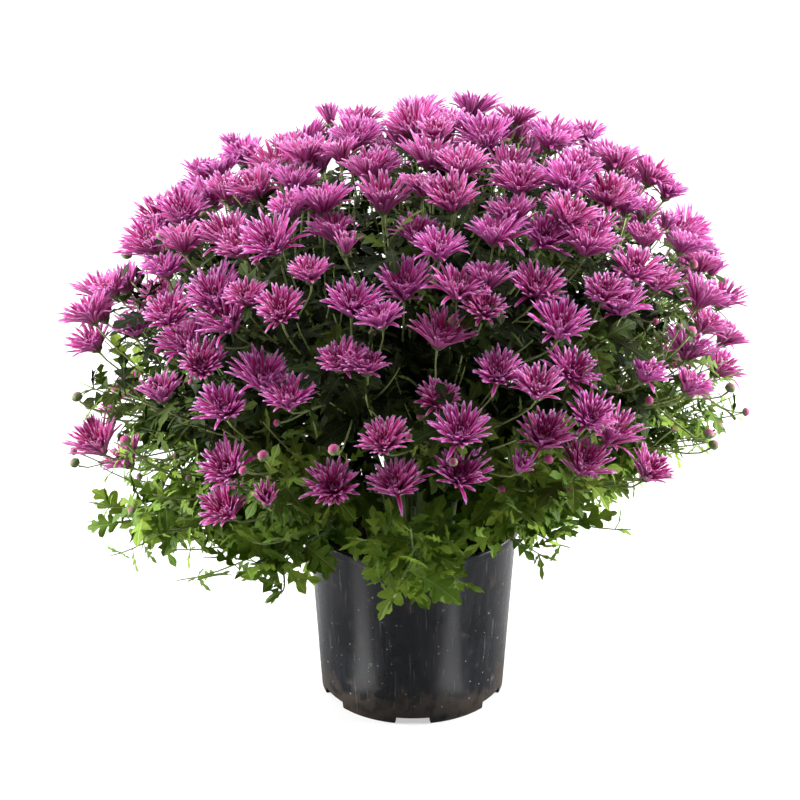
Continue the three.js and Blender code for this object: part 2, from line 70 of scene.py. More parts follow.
print("nodes", len(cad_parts), "pot axis", POT_AXIS.round(4))

# %% [markdown]
# ## Where everything grows
# All lengths below are millimetres from the pot's axis, as a grower would measure them. The flowers lie
# on a tilted dome, and the stems fan out from one point above the soil. The same few numbers place the
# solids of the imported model, so nothing has to be fitted afterwards. A random draw is a fixed function of
# the item's number, which gives the same plant every time.

# %% Shape of the dome
DOME_RADIUS = 312
DOME_DEPTH_RATIO = 0.95
CROWN_HEIGHT = 238
SKIRT_DEPTH = 190
DOME_LEVEL = 323
DOME_FULLNESS = 0.87
DOME_TILT = math.radians(6.8)
DOME_X = -2
CROWN_LEAN = 0.12
SKIRT_LEAN = 0.16
LOWEST_FALL = math.radians(106)
SPARSE = 0.42
SPARSE_FROM = math.radians(68)
SPARSE_TO = math.radians(100)
FLOWERING_FALLS = (0, 52, 72, 85, 93, 125)
FLOWERING = (1, 1, 0.8, 0.5, 0.08, 0.03)
LOWEST_FLOWER = math.radians(86)
SIDE_DROP = math.radians(26)
RIGHT_DROP = math.radians(1)
LEFT_SHARE = 0.55
LEFT_FROM = math.radians(52)
LEFT_TO = math.radians(74)
UP = np.array([0.0, 0.0, 1.0])
FAN_CENTRE = np.array([0.0, 0.0, 207.0])
GOLDEN_ANGLE = math.pi * (3 - math.sqrt(5))
TAU = 2 * math.pi


def draw(item, trait):
    """A fixed draw between 0 and 1 for one trait of one item."""
    wave = math.sin(item * 12.9898 + trait * 78.233) * 43758.5453
    return wave - math.floor(wave)


def mix(start, end, share):
    return start + (end - start) * share


def smooth(value, low, high):
    share = np.clip((value - low) / (high - low), 0, 1)
    return share * share * (3 - 2 * share)


def unit(vectors):
    vectors = np.asarray(vectors, float)
    return vectors / np.maximum(np.linalg.norm(vectors, axis=-1, keepdims=True), 1e-9)


def dome_point(turn, fall):
    """Points of the dome: turn is the compass angle, fall the angle down from the crown."""
    spread = np.sin(fall) ** DOME_FULLNESS
    rise = np.cos(fall) * np.where(fall < math.pi / 2, CROWN_HEIGHT, SKIRT_DEPTH)
    along = DOME_RADIUS * np.cos(turn) * spread
    across = DOME_RADIUS * DOME_DEPTH_RATIO * np.sin(turn) * spread
    lean = CROWN_LEAN * np.maximum(rise, 0) - SKIRT_LEAN * np.minimum(rise, 0)
    return np.stack([DOME_X + along - lean, across, DOME_LEVEL + along * math.tan(DOME_TILT) + rise], -1)


def crowding(fall):
    """Stems crowd the crown and thin out down the sides."""
    return mix(1, SPARSE, smooth(fall, SPARSE_FROM, SPARSE_TO))


def drop(turn):
    """How much further down the flowers go at this turn than at the front."""
    return SIDE_DROP * np.cos(turn) ** 2 + RIGHT_DROP * np.cos(turn)


def flowering(fall, turn=math.pi / 2):
    """Flowers crowd the crown, thin out towards the widest level and all but stop below it."""
    return np.interp(np.degrees(fall - drop(turn)), FLOWERING_FALLS, FLOWERING)


def spiral_falls(count, density):
    """The falls that share the dome out by that density, for a spiral of count points."""
    steps = 400
    fall = LOWEST_FALL * (np.arange(1, steps + 1) - 0.5) / steps
    slope = np.hypot(DOME_RADIUS * np.cos(fall), CROWN_HEIGHT * np.sin(fall))
    room = np.sin(fall) ** DOME_FULLNESS * slope * density(fall)
    total = np.concatenate([[0], np.cumsum(room)])
    goals = total[-1] * (np.arange(count) + 0.5) / count
    return LOWEST_FALL * np.interp(goals, total, np.arange(steps + 1)) / steps


print("dome top", dome_point(np.array(0.0), np.array(0.0)).round(1))

# %% Stems fan out to the dome
SPRAY_COUNT = 40
SHOOT_COUNT = 10
SOIL_SPREAD = 48
SHOOT_SPREAD = 63
SHOOT_SLOPE = math.radians(7)
SHOOT_REACH = 255
SHOOT_OFFSET = 30


def lay_out_sprays():
    """The flowering stems, each with its heading and its reach from the fan centre."""
    found = []
    for k, fall in enumerate(spiral_falls(SPRAY_COUNT, crowding)):
        reach = dome_point(k * GOLDEN_ANGLE + 0.5, fall) - FAN_CENTRE
        spread = math.sqrt((1 - math.cos(fall)) / (1 - math.cos(LOWEST_FALL)))
        found.append({
            "name": f"spray_{k:02d}",
            "seed": k,
            "fall": fall,
            "reach": float(np.linalg.norm(reach)),
            "heading": unit(reach),
            "foot": SOIL_SPREAD * spread,
            "flowers": [],
        })
    return found


def lay_out_shoots():
    """The leafy shoots that close the cushion's underside, all round the pot. beside says how far each
    holds its leaves up: 0 at the front and back, 1 diagonally, and 0.4 right at the sides."""
    found = []
    for i in range(SHOOT_COUNT):
        turn = TAU * (i + 0.5) / SHOOT_COUNT
        slope = SHOOT_SLOPE + DOME_TILT * math.cos(turn)
        flat = math.cos(slope)
        sideways = abs(math.cos(turn))
        found.append({
            "name": f"shoot_{i:02d}",
            "seed": i + SPRAY_COUNT,
            "reach": SHOOT_REACH - SHOOT_OFFSET * math.cos(turn),
            "heading": np.array([flat * math.cos(turn), flat * math.sin(turn), math.sin(slope)]),
            "beside": float(smooth(sideways, 0.1, 0.5) - 0.6 * smooth(sideways, 0.65, 0.95)),
            "foot": SHOOT_SPREAD,
        })
    return found


sprays = lay_out_sprays()
shoots = lay_out_shoots()
print("stems", len(sprays), "shoots", len(shoots))

# %% Flowers push apart until they share the dome
FLOWER_COUNT = 260
FLOWER_SPACING = 47
BUDS = (0.03, 0.2)
UNOPENED = (0.08, 0.34)
BLOOM_RADIUS = 25
BLOOM_DEPTH = 0.8
SUNKEN = 26
ROUNDS = 24
PUSH = 0.3                # share of its crowding that a flower gives up in each round
NUDGE = 0.01              # small step down the dome that measures its slope
FACED_FROM = 110          # the blooms face away from a point this far below the widest level
UP_LEAN = 1.4
FACING_STRAY = 1.1
ONWARD = 0.75
STRAY = 26


def flower_places():
    """Turn and fall of every flower after the rounds of pushing."""
    turn = np.arange(FLOWER_COUNT) * GOLDEN_ANGLE
    fall = np.minimum(spiral_falls(FLOWER_COUNT, flowering), LOWEST_FLOWER)
    fall = fall + drop(turn) * (fall / LOWEST_FLOWER) ** 4
    for _ in range(ROUNDS):
        points = dome_point(turn, fall)
        away = points[:, None] - points[None]
        distance = np.linalg.norm(away, axis=-1)
        spacing = (FLOWER_SPACING / np.sqrt(flowering(fall, turn)))[:, None]
        near = (distance < spacing) & (distance > 0)
        share = np.where(near, PUSH * (spacing / np.maximum(distance, 1e-9) - 1), 0)
        push = (away * share[..., None]).sum(1)
        eastward = np.stack([-np.sin(turn), np.cos(turn), np.zeros_like(turn)], -1)
        downward = dome_point(turn, fall + NUDGE) - points
        ring = DOME_RADIUS * np.maximum(np.sin(fall), 0.05)
        turn = turn + (push * eastward).sum(1) / ring
        fall = fall + NUDGE * (push * downward).sum(1) / (downward ** 2).sum(1)
        fall = np.clip(fall, 0.03, LOWEST_FLOWER + drop(turn))
    return turn, fall


def lay_out_flowers():
    """Every flower goes to the stem whose heading is nearest to it."""
    headings = np.array([spray["heading"] for spray in sprays])
    turn, fall = flower_places()
    left = np.maximum(-np.cos(turn), 0) * smooth(fall, LEFT_FROM, LEFT_TO)
    for k, tip in enumerate(dome_point(turn, fall)):
        if draw(k, 12) > mix(1, LEFT_SHARE, left[k]):
            continue
        heading = unit(tip - FAN_CENTRE)
        low = smooth(fall[k], SPARSE_FROM, SPARSE_TO)
        stray = STRAY * np.array([draw(k, 9) - 0.5, draw(k, 10) - 0.5, 0.6 * (draw(k, 11) - 0.5)])
        pick = draw(k, 3)
        kind = "bud" if pick < mix(*BUDS, low) else "half" if pick < mix(*UNOPENED, low) else "open"
        facing = unit(tip - np.array([DOME_X, 0, DOME_LEVEL - FACED_FROM])) + UP_LEAN * UP
        facing[0] += FACING_STRAY * (draw(k, 4) - 0.5)
        facing[1] += FACING_STRAY * (draw(k, 5) - 0.5)
        facing = unit(facing)
        facing = unit(facing + heading * max(0, ONWARD - facing @ heading))
        size = {"open": mix(0.78, 1.18, draw(k, 6)), "half": mix(0.5, 0.66, draw(k, 6)), "bud": 0.2}
        radius = BLOOM_RADIUS * size[kind]
        depth = radius * BLOOM_DEPTH + SUNKEN * draw(k, 7) ** 2
        sprays[int(np.argmax(headings @ heading))]["flowers"].append({
            "index": k,
            "kind": kind,
            "base": tip - heading * depth + stray,
            "facing": facing,
            "radius": radius,
            "spin": TAU * draw(k, 8),
        })


lay_out_flowers()
kinds = [flower["kind"] for spray in sprays for flower in spray["flowers"]]
print("flowers", {kind: kinds.count(kind) for kind in sorted(set(kinds))})

# %% [markdown]
# ## Three shapes make the whole plant
# Petals, bracts and bud scales are straps, stems and calyces are tubes, and leaves are lobed blades. Each
# could be modelled by hand and scattered, but scattered instances don't survive an export. So each shape
# has one small function that makes thousands of closed, thin pieces at once with arrays of numbers. Every
# point also keeps where it lies on its petal or leaf, so that a material can draw veins and tips there.

# %% Parts and how they join into one mesh
def part(points, quads, tris, finish, place, trait, lane=None):
    """A set of faces in one finish. Edges whose two ends share a lane above 0 stay sharp."""
    points = np.asarray(points, float).reshape(-1, 3)
    return {
        "points": points,
        "quads": np.asarray(quads, np.int64).reshape(-1, 4),
        "tris": np.asarray(tris, np.int64).reshape(-1, 3),
        "finish": finish,
        "place": np.asarray(place, float).reshape(-1, 3),
        "trait": np.asarray(trait, float).reshape(-1, 3),
        "lane": np.zeros(len(points), np.int64) if lane is None else np.asarray(lane, np.int64),
    }


def stack_up(parts, key, width):
    """The faces of all parts as one array, counted on through all points."""
    offsets = np.cumsum([0] + [len(p["points"]) for p in parts[:-1]])
    stacked = [p[key] + offset for p, offset in zip(parts, offsets)]
    return np.concatenate(stacked).reshape(-1, width)


def wrap_round(first, corners):
    """The quads between each ring and the next, from the number of each ring's first point."""
    corner = np.arange(corners)[None, None]
    following = (corner + 1) % corners
    quads = np.stack([
        first + corner, first + following, first + corners + following, first + corners + corner], -1)
    return quads.reshape(-1, 4)


def keep_numbers(mesh, name, values):
    """Stores three numbers for each point, which materials read by name."""
    held = mesh.attributes.new(name, "FLOAT_VECTOR", "POINT")
    held.data.foreach_set("vector", values.astype(np.float32).ravel())


def make_piece(name, parts, stands_for):
    """Joins parts in one mesh object in metres, in the place of its CAD node."""
    points = np.concatenate([p["points"] for p in parts]) * MM + POT_AXIS
    quads = stack_up(parts, "quads", 4)
    tris = stack_up(parts, "tris", 3)
    names = list(dict.fromkeys(p["finish"] for p in parts))
    quad_finish = np.concatenate([np.full(len(p["quads"]), names.index(p["finish"])) for p in parts])
    tri_finish = np.concatenate([np.full(len(p["tris"]), names.index(p["finish"])) for p in parts])
    corners = np.concatenate([quads.ravel(), tris.ravel()])
    starts = np.concatenate([np.arange(len(quads)) * 4, quads.size + np.arange(len(tris)) * 3])
    mesh = bpy.data.meshes.new(name)
    mesh.vertices.add(len(points))
    mesh.vertices.foreach_set("co", points.astype(np.float32).ravel())
    mesh.loops.add(len(corners))
    mesh.loops.foreach_set("vertex_index", corners.astype(np.int32))
    mesh.polygons.add(len(starts))
    mesh.polygons.foreach_set("loop_start", starts.astype(np.int32))
    finish_index = np.concatenate([quad_finish, tri_finish]).astype(np.int32)
    mesh.polygons.foreach_set("material_index", finish_index)
    mesh.polygons.foreach_set("use_smooth", np.ones(len(starts), bool))
    mesh.update(calc_edges=True)
    ends = np.zeros(2 * len(mesh.edges), np.int32)
    mesh.edges.foreach_get("vertices", ends)
    lane = np.concatenate([p["lane"] for p in parts])[ends.reshape(-1, 2)]
    mesh.edges.foreach_set("use_edge_sharp", (lane[:, 0] == lane[:, 1]) & (lane[:, 0] > 0))
    keep_numbers(mesh, "place", np.concatenate([p["place"] for p in parts]))
    keep_numbers(mesh, "trait", np.concatenate([p["trait"] for p in parts]))
    for finish in names:
        mesh.materials.append(finishes[finish])
    piece = bpy.data.objects.new(name, mesh)
    bpy.context.scene.collection.objects.link(piece)
    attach(piece, "root")
    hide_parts(stands_for)
    piece_faces[name] = 2 * len(quads) + len(tris)
    return piece


piece_faces = {}
finishes = {}

# %% Straps: petals and bracts
def make_straps(root, axis, out, lean, length, width, finish, trait, stations, outline,
                cup, thickness=0.5, twist=0.0, sway=0.0, curl=1.0):
    """Thin closed straps, hollow on their face. lean holds each strap's first and last angle from its
    axis, stations the shares of its length where it is measured, and outline the share of its width
    there."""
    count = len(root)
    stations = np.asarray(stations, float)
    outline = np.asarray(outline, float)
    rings = len(stations)
    side = np.cross(axis, out)
    angle = lean[:, :1] + (lean[:, 1:] - lean[:, :1]) * stations[None] ** curl
    cosine = np.cos(angle)[..., None]
    sine = np.sin(angle)[..., None]
    ahead = cosine * axis[:, None] + sine * out[:, None]
    inner = sine * axis[:, None] - cosine * out[:, None]
    steps = np.diff(stations)[None, :, None] * length[:, None, None]
    path = np.cumsum(0.5 * (ahead[:, 1:] + ahead[:, :-1]) * steps, axis=1)
    spine = root[:, None] + np.concatenate([np.zeros((count, 1, 3)), path], axis=1)
    bend = (np.broadcast_to(sway, (count,))[:, None] * length[:, None] * stations[None] ** 2)
    spine = spine + side[:, None] * bend[..., None]
    turn = (np.broadcast_to(twist, (count,))[:, None] * stations[None])[..., None]
    across = side[:, None] * np.cos(turn) + inner * np.sin(turn)
    face = inner * np.cos(turn) - side[:, None] * np.sin(turn)
    half = (0.5 * width[:, None] * outline[None])[..., None]
    rim = face * half * cup
    thick = 0.5 * thickness * np.minimum(1, outline + 0.2)[None, :, None]
    points = np.stack([
        spine + across * half + rim,
        spine - across * half + rim,
        spine - face * thick], axis=2)
    marks = np.array([(1, 0), (-1, 0), (0, -1)])
    lanes = np.array([1, 2, 0])
    corners = len(marks)
    first = (np.arange(count)[:, None, None] * rings + np.arange(rings - 1)[None, :, None]) * corners
    base = np.arange(count)[:, None] * rings * corners
    caps = np.concatenate([
        base + np.arange(corners)[::-1],
        base + (rings - 1) * corners + np.arange(corners)])
    place = np.zeros((count, rings, corners, 3))
    place[..., 0] = stations[None, :, None]
    place[..., 1:] = marks
    traits = np.broadcast_to(trait[:, None, None], (count, rings, corners, 3))
    lane = np.broadcast_to(lanes, (count, rings, corners))
    return part(points, wrap_round(first, corners), caps, finish, place, traits, lane.ravel())


# %% Tubes: stems, stalks, calyces and buds
def make_tubes(path, radius, sides, finish, trait):
    """Closed tubes along paths of equal length, with a radius at each point of each path."""
    count, rings = path.shape[:2]
    ahead = np.empty_like(path)
    ahead[:, 1:-1] = path[:, 2:] - path[:, :-2]
    ahead[:, 0] = path[:, 1] - path[:, 0]
    ahead[:, -1] = path[:, -1] - path[:, -2]
    ahead = unit(ahead)
    hint = np.where(np.abs(ahead[:, 0, 2:]) > 0.9, np.array([1.0, 0, 0]), UP)
    normal = np.empty_like(path)
    normal[:, 0] = unit(np.cross(hint, ahead[:, 0]))
    for i in range(1, rings):
        before = normal[:, i - 1]
        normal[:, i] = unit(before - (before * ahead[:, i]).sum(-1, keepdims=True) * ahead[:, i])
    binormal = np.cross(ahead, normal)
    angle = TAU * np.arange(sides) / sides
    round_x = (np.cos(angle)[None, None, :, None] * normal[:, :, None])
    round_y = (np.sin(angle)[None, None, :, None] * binormal[:, :, None])
    points = path[:, :, None] + (round_x + round_y) * radius[:, :, None, None]
    first = (np.arange(count)[:, None, None] * rings + np.arange(rings - 1)[None, :, None]) * sides
    fan = np.array([[0, k, k + 1] for k in range(1, sides - 1)])
    base = (np.arange(count) * rings * sides)[:, None, None]
    tris = np.concatenate([
        (base + fan[None, :, ::-1]).reshape(-1, 3),
        (base + (rings - 1) * sides + fan[None]).reshape(-1, 3)])
    place = np.zeros((count, rings, sides, 3))
    place[..., 0] = np.linspace(0, 1, rings)[None, :, None]
    place[..., 1] = np.cos(angle)[None, None]
    place[..., 2] = np.sin(angle)[None, None]
    traits = np.broadcast_to(trait[:, None, None], (count, rings, sides, 3))
    return part(points, wrap_round(first, sides), tris, finish, place, traits)


def smooth_curve(s, size, start, start_way, end, end_way):
    """The points at shares s of a curve of that size, by its ends and its ways there."""
    return ((2 * s ** 3 - 3 * s ** 2 + 1) * start + (s ** 3 - 2 * s ** 2 + s) * size * start_way
            + (3 * s ** 2 - 2 * s ** 3) * end + (s ** 3 - s ** 2) * size * end_way)


def bow(start, start_way, end, end_way, rings):
    """Curves from start to end that leave and arrive along the given ways."""
    s = np.linspace(0, 1, rings)[None, :, None]
    start = start[:, None]
    end = end[:, None]
    span = np.linalg.norm(end - start, axis=-1, keepdims=True)
    return smooth_curve(s, span, start, start_way[:, None], end, end_way[:, None])


# %% Blades: lobed leaves
# Each row is a point of the blade's right edge: the share of its length, its half width and the rib
# point that it hangs on. A lobe fans out from one rib point, and a low point between two is a cleft.
BROAD_RIB = (0, 0.20, 0.42, 0.66, 0.84)
BROAD_EDGE = (
    (0, 0.012, 0), (0.17, 0.014, 0),
    (0.24, 0.10, 1), (0.31, 0.20, 1), (0.37, 0.225, 1), (0.415, 0.18, 1), (0.40, 0.05, 1),
    (0.45, 0.12, 2), (0.52, 0.22, 2), (0.59, 0.285, 2), (0.65, 0.265, 2), (0.665, 0.17, 2),
    (0.63, 0.055, 2),
    (0.70, 0.11, 3), (0.77, 0.165, 3), (0.84, 0.15, 3), (0.865, 0.065, 3),
    (0.92, 0.07, 4), (0.97, 0.04, 4),
)
SLIM_RIB = (0, 0.18, 0.42, 0.68)
SLIM_EDGE = (
    (0, 0.012, 0), (0.15, 0.013, 0),
    (0.31, 0.15, 1), (0.38, 0.18, 1), (0.375, 0.03, 1),
    (0.52, 0.16, 2), (0.61, 0.215, 2), (0.61, 0.035, 2),
    (0.76, 0.10, 3), (0.85, 0.10, 3),
)
LINE_RIB = (0, 0.35, 0.7)
LINE_EDGE = ((0, 0.02, 0), (0.22, 0.035, 0), (0.45, 0.11, 1), (0.52, 0.045, 1), (0.76, 0.07, 2))


def blade_template(rib, edge):
    """Points (along, half width, layer) and triangles of one flat blade with both of its faces."""
    points = [(share, 0, layer) for layer in (1, -1) for share in rib]
    count = len(rib)
    tip = len(points)
    points.append((1, 0, 0))
    tris = []
    for sign in (1, -1):
        start = len(points)
        points += [(share, sign * half, 0) for share, half, _ in edge]
        hangs = [hang for _, _, hang in edge] + [count - 1]
        rim = list(range(start, start + len(edge))) + [tip]
        for k in range(len(edge)):
            here, there = hangs[k], hangs[k + 1]
            fans = [(here, rim[k], rim[k + 1])] if here == there else [
                (here, rim[k], there), (there, rim[k], rim[k + 1])]
            for fan in fans:
                top = fan if sign < 0 else fan[::-1]
                tris.append(top)
                tris.append(tuple(i + count if i < count else i for i in top[::-1]))
        tris.append((0, start, count) if sign > 0 else (count, start, 0))
    return np.array(points, float), np.array(tris)


BLADES = {
    "broad": blade_template(BROAD_RIB, BROAD_EDGE),
    "slim": blade_template(SLIM_RIB, SLIM_EDGE),
    "line": blade_template(LINE_RIB, LINE_EDGE),
}


def make_blades(kind, root, heading, face, length, droop, fold, wave, trait, broad):
    """Leaves of one kind. droop bends each along its rib, fold lifts both halves off it, wave ripples
    them, and broad is the share of its full breadth."""
    template, tris = BLADES[kind]
    count = len(root)
    ahead = unit(heading)
    side = unit(np.cross(face, ahead))
    normal = np.cross(ahead, side)
    share = template[None, :, 0]
    half = template[None, :, 1] * broad[:, None]
    bend = np.maximum(np.abs(droop), 1e-3)[:, None]
    angle = bend * share
    reach = np.sin(angle) / bend
    drop = (1 - np.cos(angle)) / bend
    out = np.abs(half)
    ripple = wave[:, None] * np.sin(share * 19 + 40 * trait[:, 1:2]) * out
    thick = 0.5 / length[:, None] * template[None, :, 2]
    lift = fold[:, None] * out - 1.2 * out ** 2 + ripple + thick
    local_normal = normal[:, None] * np.cos(angle)[..., None] + ahead[:, None] * np.sin(angle)[..., None]
    points = root[:, None] + length[:, None, None] * (
        ahead[:, None] * reach[..., None] - normal[:, None] * drop[..., None]
        + side[:, None] * half[..., None] + local_normal * lift[..., None])
    faces = tris[None] + (np.arange(count) * len(template))[:, None, None]
    place = np.broadcast_to(template[None], (count, len(template), 3))
    traits = np.broadcast_to(trait[:, None], (count, len(template), 3))
    rim = np.broadcast_to((template[:, 2] == 0).astype(int)[None], (count, len(template)))
    return part(points, [], faces.reshape(-1, 3), "leaf", place, traits, rim.ravel())


print({kind: len(tris) for kind, (_, tris) in BLADES.items()}, "triangles a leaf")

# %% [markdown]
# ## Node groups that several finishes share
# A leaf, a stem and a pot all vary a little from place to place, and that unevenness is one effect with
# different strengths. It is built once as a node group with named sockets, and each finish sets its own
# scale. Groups put out masks and heights only, so the surface shader stays in the material itself.

# %% Helpers for nodes
def add_node(tree, kind, inputs=None, **settings):
    """A new node with its settings, and its inputs set to values or linked to sockets."""
    made = tree.nodes.new("ShaderNode" + kind)
    for key, value in settings.items():
        setattr(made, key, value)
    for key, value in (inputs or {}).items():
        if isinstance(value, bpy.types.NodeSocket):
            tree.links.new(value, made.inputs[key])
        else:
            made.inputs[key].default_value = value
    return made


def maths(tree, operation, first, second=0.0, clamp=False):
    return add_node(tree, "Math", {0: first, 1: second}, operation=operation, use_clamp=clamp).outputs[0]


def blend_colours(tree, share, first, second):
    """Two colours in one: first where share is 0, second where it is 1."""
    return add_node(tree, "Mix", {0: share, 6: first, 7: second}, data_type="RGBA").outputs[2]


def stretch(tree, value, low, high, to_low=0.0, to_high=1.0):
    """Values from low to high spread out from to_low to to_high, eased at both ends."""
    made = add_node(tree, "MapRange", {
        "Value": value, "From Min": low, "From Max": high, "To Min": to_low, "To Max": to_high})
    made.interpolation_type = "SMOOTHSTEP"
    return made.outputs["Result"]


def colour(red, green, blue):
    return (red, green, blue, 1.0)


def new_group(name, sockets_in, sockets_out):
    """An empty group: sockets_in is {name: (type, value)}, sockets_out {name: type}."""
    group = bpy.data.node_groups.new(name, "ShaderNodeTree")
    for socket, (kind, value) in sockets_in.items():
        made = group.interface.new_socket(socket, in_out="INPUT", socket_type="NodeSocket" + kind)
        if value is not None:
            made.default_value = value
    for socket, kind in sockets_out.items():
        group.interface.new_socket(socket, in_out="OUTPUT", socket_type="NodeSocket" + kind)
    return group, group.nodes.new("NodeGroupInput").outputs, group.nodes.new("NodeGroupOutput").inputs


def use_group(tree, group, inputs):
    return add_node(tree, "Group", inputs, node_tree=group).outputs


# %% Uneven growth, and fine lines along a part
def build_unevenness():
    """Soft patches at one scale and finer ones inside them."""
    group, given, out = new_group(
        "unevenness",
        {"Scale": ("Float", 40.0), "Fine Share": ("Float", 0.4)},
        {"Mask": "Float", "Fine": "Float"})
    where = add_node(group, "TexCoord").outputs["Object"]
    wide = add_node(group, "TexNoise", {"Vector": where, "Scale": given["Scale"], "Detail": 2.0})
    fine_scale = maths(group, "MULTIPLY", given["Scale"], 6.0)
    fine = add_node(group, "TexNoise", {"Vector": where, "Scale": fine_scale, "Detail": 3.0})
    both = add_node(group, "Mix", {0: given["Fine Share"], 2: wide.outputs[0], 3: fine.outputs[0]})
    group.links.new(stretch(group, both.outputs[0], 0.3, 0.7), out["Mask"])
    group.links.new(fine.outputs[0], out["Fine"])
    return group


def build_ribbing():
    """Fine lines that run along a petal or a stem, from the place kept on its points."""
    group, given, out = new_group(
        "ribbing", {"Place": ("Vector", None), "Lines": ("Float", 9.0)}, {"Height": "Float"})
    split = add_node(group, "SeparateXYZ", {0: given["Place"]}).outputs
    across = maths(group, "MULTIPLY", split[1], given["Lines"])
    along = maths(group, "MULTIPLY", split[0], 1.4)
    lines = add_node(group, "CombineXYZ", {0: along, 1: across, 2: split[2]}).outputs[0]
    noise = add_node(group, "TexNoise", {"Vector": lines, "Scale": 1.0, "Detail": 2.0})
    group.links.new(noise.outputs[0], out["Height"])
    return group


unevenness = build_unevenness()
ribbing = build_ribbing()
print("groups", [group.name for group in bpy.data.node_groups])

# %% [markdown]
# ## Finishes of the plant
# A petal is deep magenta at its foot and palest at its rolled tip and along its edges, and its back is
# a plainer, paler pink. The centre of a bloom is darkest: its inner petals are a deeper colour, and
# part of that dark is painted shade in the hollow of the cup. Those rules can be painted on an image,
# but here they are drawn from the place kept on each point, so they stay sharp at any distance.

# %% Start of a finish
def new_finish(name, **constants):
    """A material with a Principled shader whose constant sockets are set directly."""
    material = bpy.data.materials.new(name)
    material.use_nodes = True
    tree = material.node_tree
    shader = tree.nodes["Principled BSDF"]
    for socket, value in constants.items():
        shader.inputs[socket.replace("_", " ")].default_value = value
    finishes[name] = material
    return tree, shader


def kept(tree, name):
    """The three numbers kept on each point under that name."""
    vector = add_node(tree, "Attribute", attribute_name=name).outputs["Vector"]
    return vector, add_node(tree, "SeparateXYZ", {0: vector}).outputs


def bump(tree, shader, height, strength, distance):
    made = add_node(tree, "Bump", {"Height": height, "Strength": strength, "Distance": distance})
    tree.links.new(made.outputs[0], shader.inputs["Normal"])


# %% Petals
def finish_petals():
    tree, shader = new_finish(
        "petal", Specular_IOR_Level=0.10, Sheen_Weight=0.02, Sheen_Roughness=0.5,
        Subsurface_Weight=0.4, Subsurface_Scale=0.0022, Subsurface_Radius=(1.0, 0.8, 1.0))
    place, (along, across, side) = kept(tree, "place")
    _, (depth, own, bloom) = kept(tree, "trait")
    lines = use_group(tree, ribbing, {"Place": place, "Lines": 5.0})["Height"]
    patches = use_group(tree, unevenness, {"Scale": 60.0, "Fine Share": 0.35})["Mask"]
    ramp = add_node(tree, "ValToRGB", {0: along})
    stops = ramp.color_ramp
    stops.elements[0].color = colour(0.33, 0.001, 0.085)
    stops.elements[1].color = colour(0.51, 0.205, 0.465)
    stops.elements.new(0.35).color = colour(0.42, 0.002, 0.13)
    stops.elements.new(0.8).color = colour(0.46, 0.017, 0.225)
    edge = maths(tree, "POWER", maths(tree, "ABSOLUTE", across), 3.0)
    edge = maths(tree, "MULTIPLY", edge, stretch(tree, along, 0.2, 1.0, 0.08, 0.75))
    face = blend_colours(tree, edge, ramp.outputs[0], colour(0.51, 0.29, 0.54))
    # The inner rings darken towards a deep crimson heart: partly the inner petals' own deeper colour, partly
    # painted shade in the hollow of the cup.
    inward = maths(tree, "POWER", depth, 1.1)
    deep_heart_and_painted_shade = maths(tree, "MULTIPLY", inward, stretch(tree, along, 0.6, 1.0, 1.0, 0.55))
    face = blend_colours(tree, deep_heart_and_painted_shade, face, colour(0.25, 0.0003, 0.055))
    back_foot = stretch(tree, along, 0.0, 0.45)
    back = blend_colours(tree, back_foot, colour(0.50, 0.11, 0.28), colour(0.51, 0.115, 0.37))
    behind = stretch(tree, side, 0.0, -0.5)
    both = blend_colours(tree, behind, face, back)
    shade = maths(tree, "ADD", maths(tree, "MULTIPLY", own, 0.3), maths(tree, "MULTIPLY", lines, 0.35))
    shade = maths(tree, "ADD", shade, maths(tree, "MULTIPLY", patches, 0.12))
    value = stretch(tree, shade, 0.0, 0.6, 0.74, 1.16)
    hue = stretch(tree, bloom, 0.0, 1.0, 0.488, 0.508)
    tuned = add_node(tree, "HueSaturation", {"Hue": hue, "Value": value, "Color": both})
    tree.links.new(tuned.outputs[0], shader.inputs["Base Color"])
    rough = stretch(tree, lines, 0.3, 0.7, 0.48, 0.68)
    tree.links.new(rough, shader.inputs["Roughness"])
    bump(tree, shader, lines, 0.5, 0.0004)


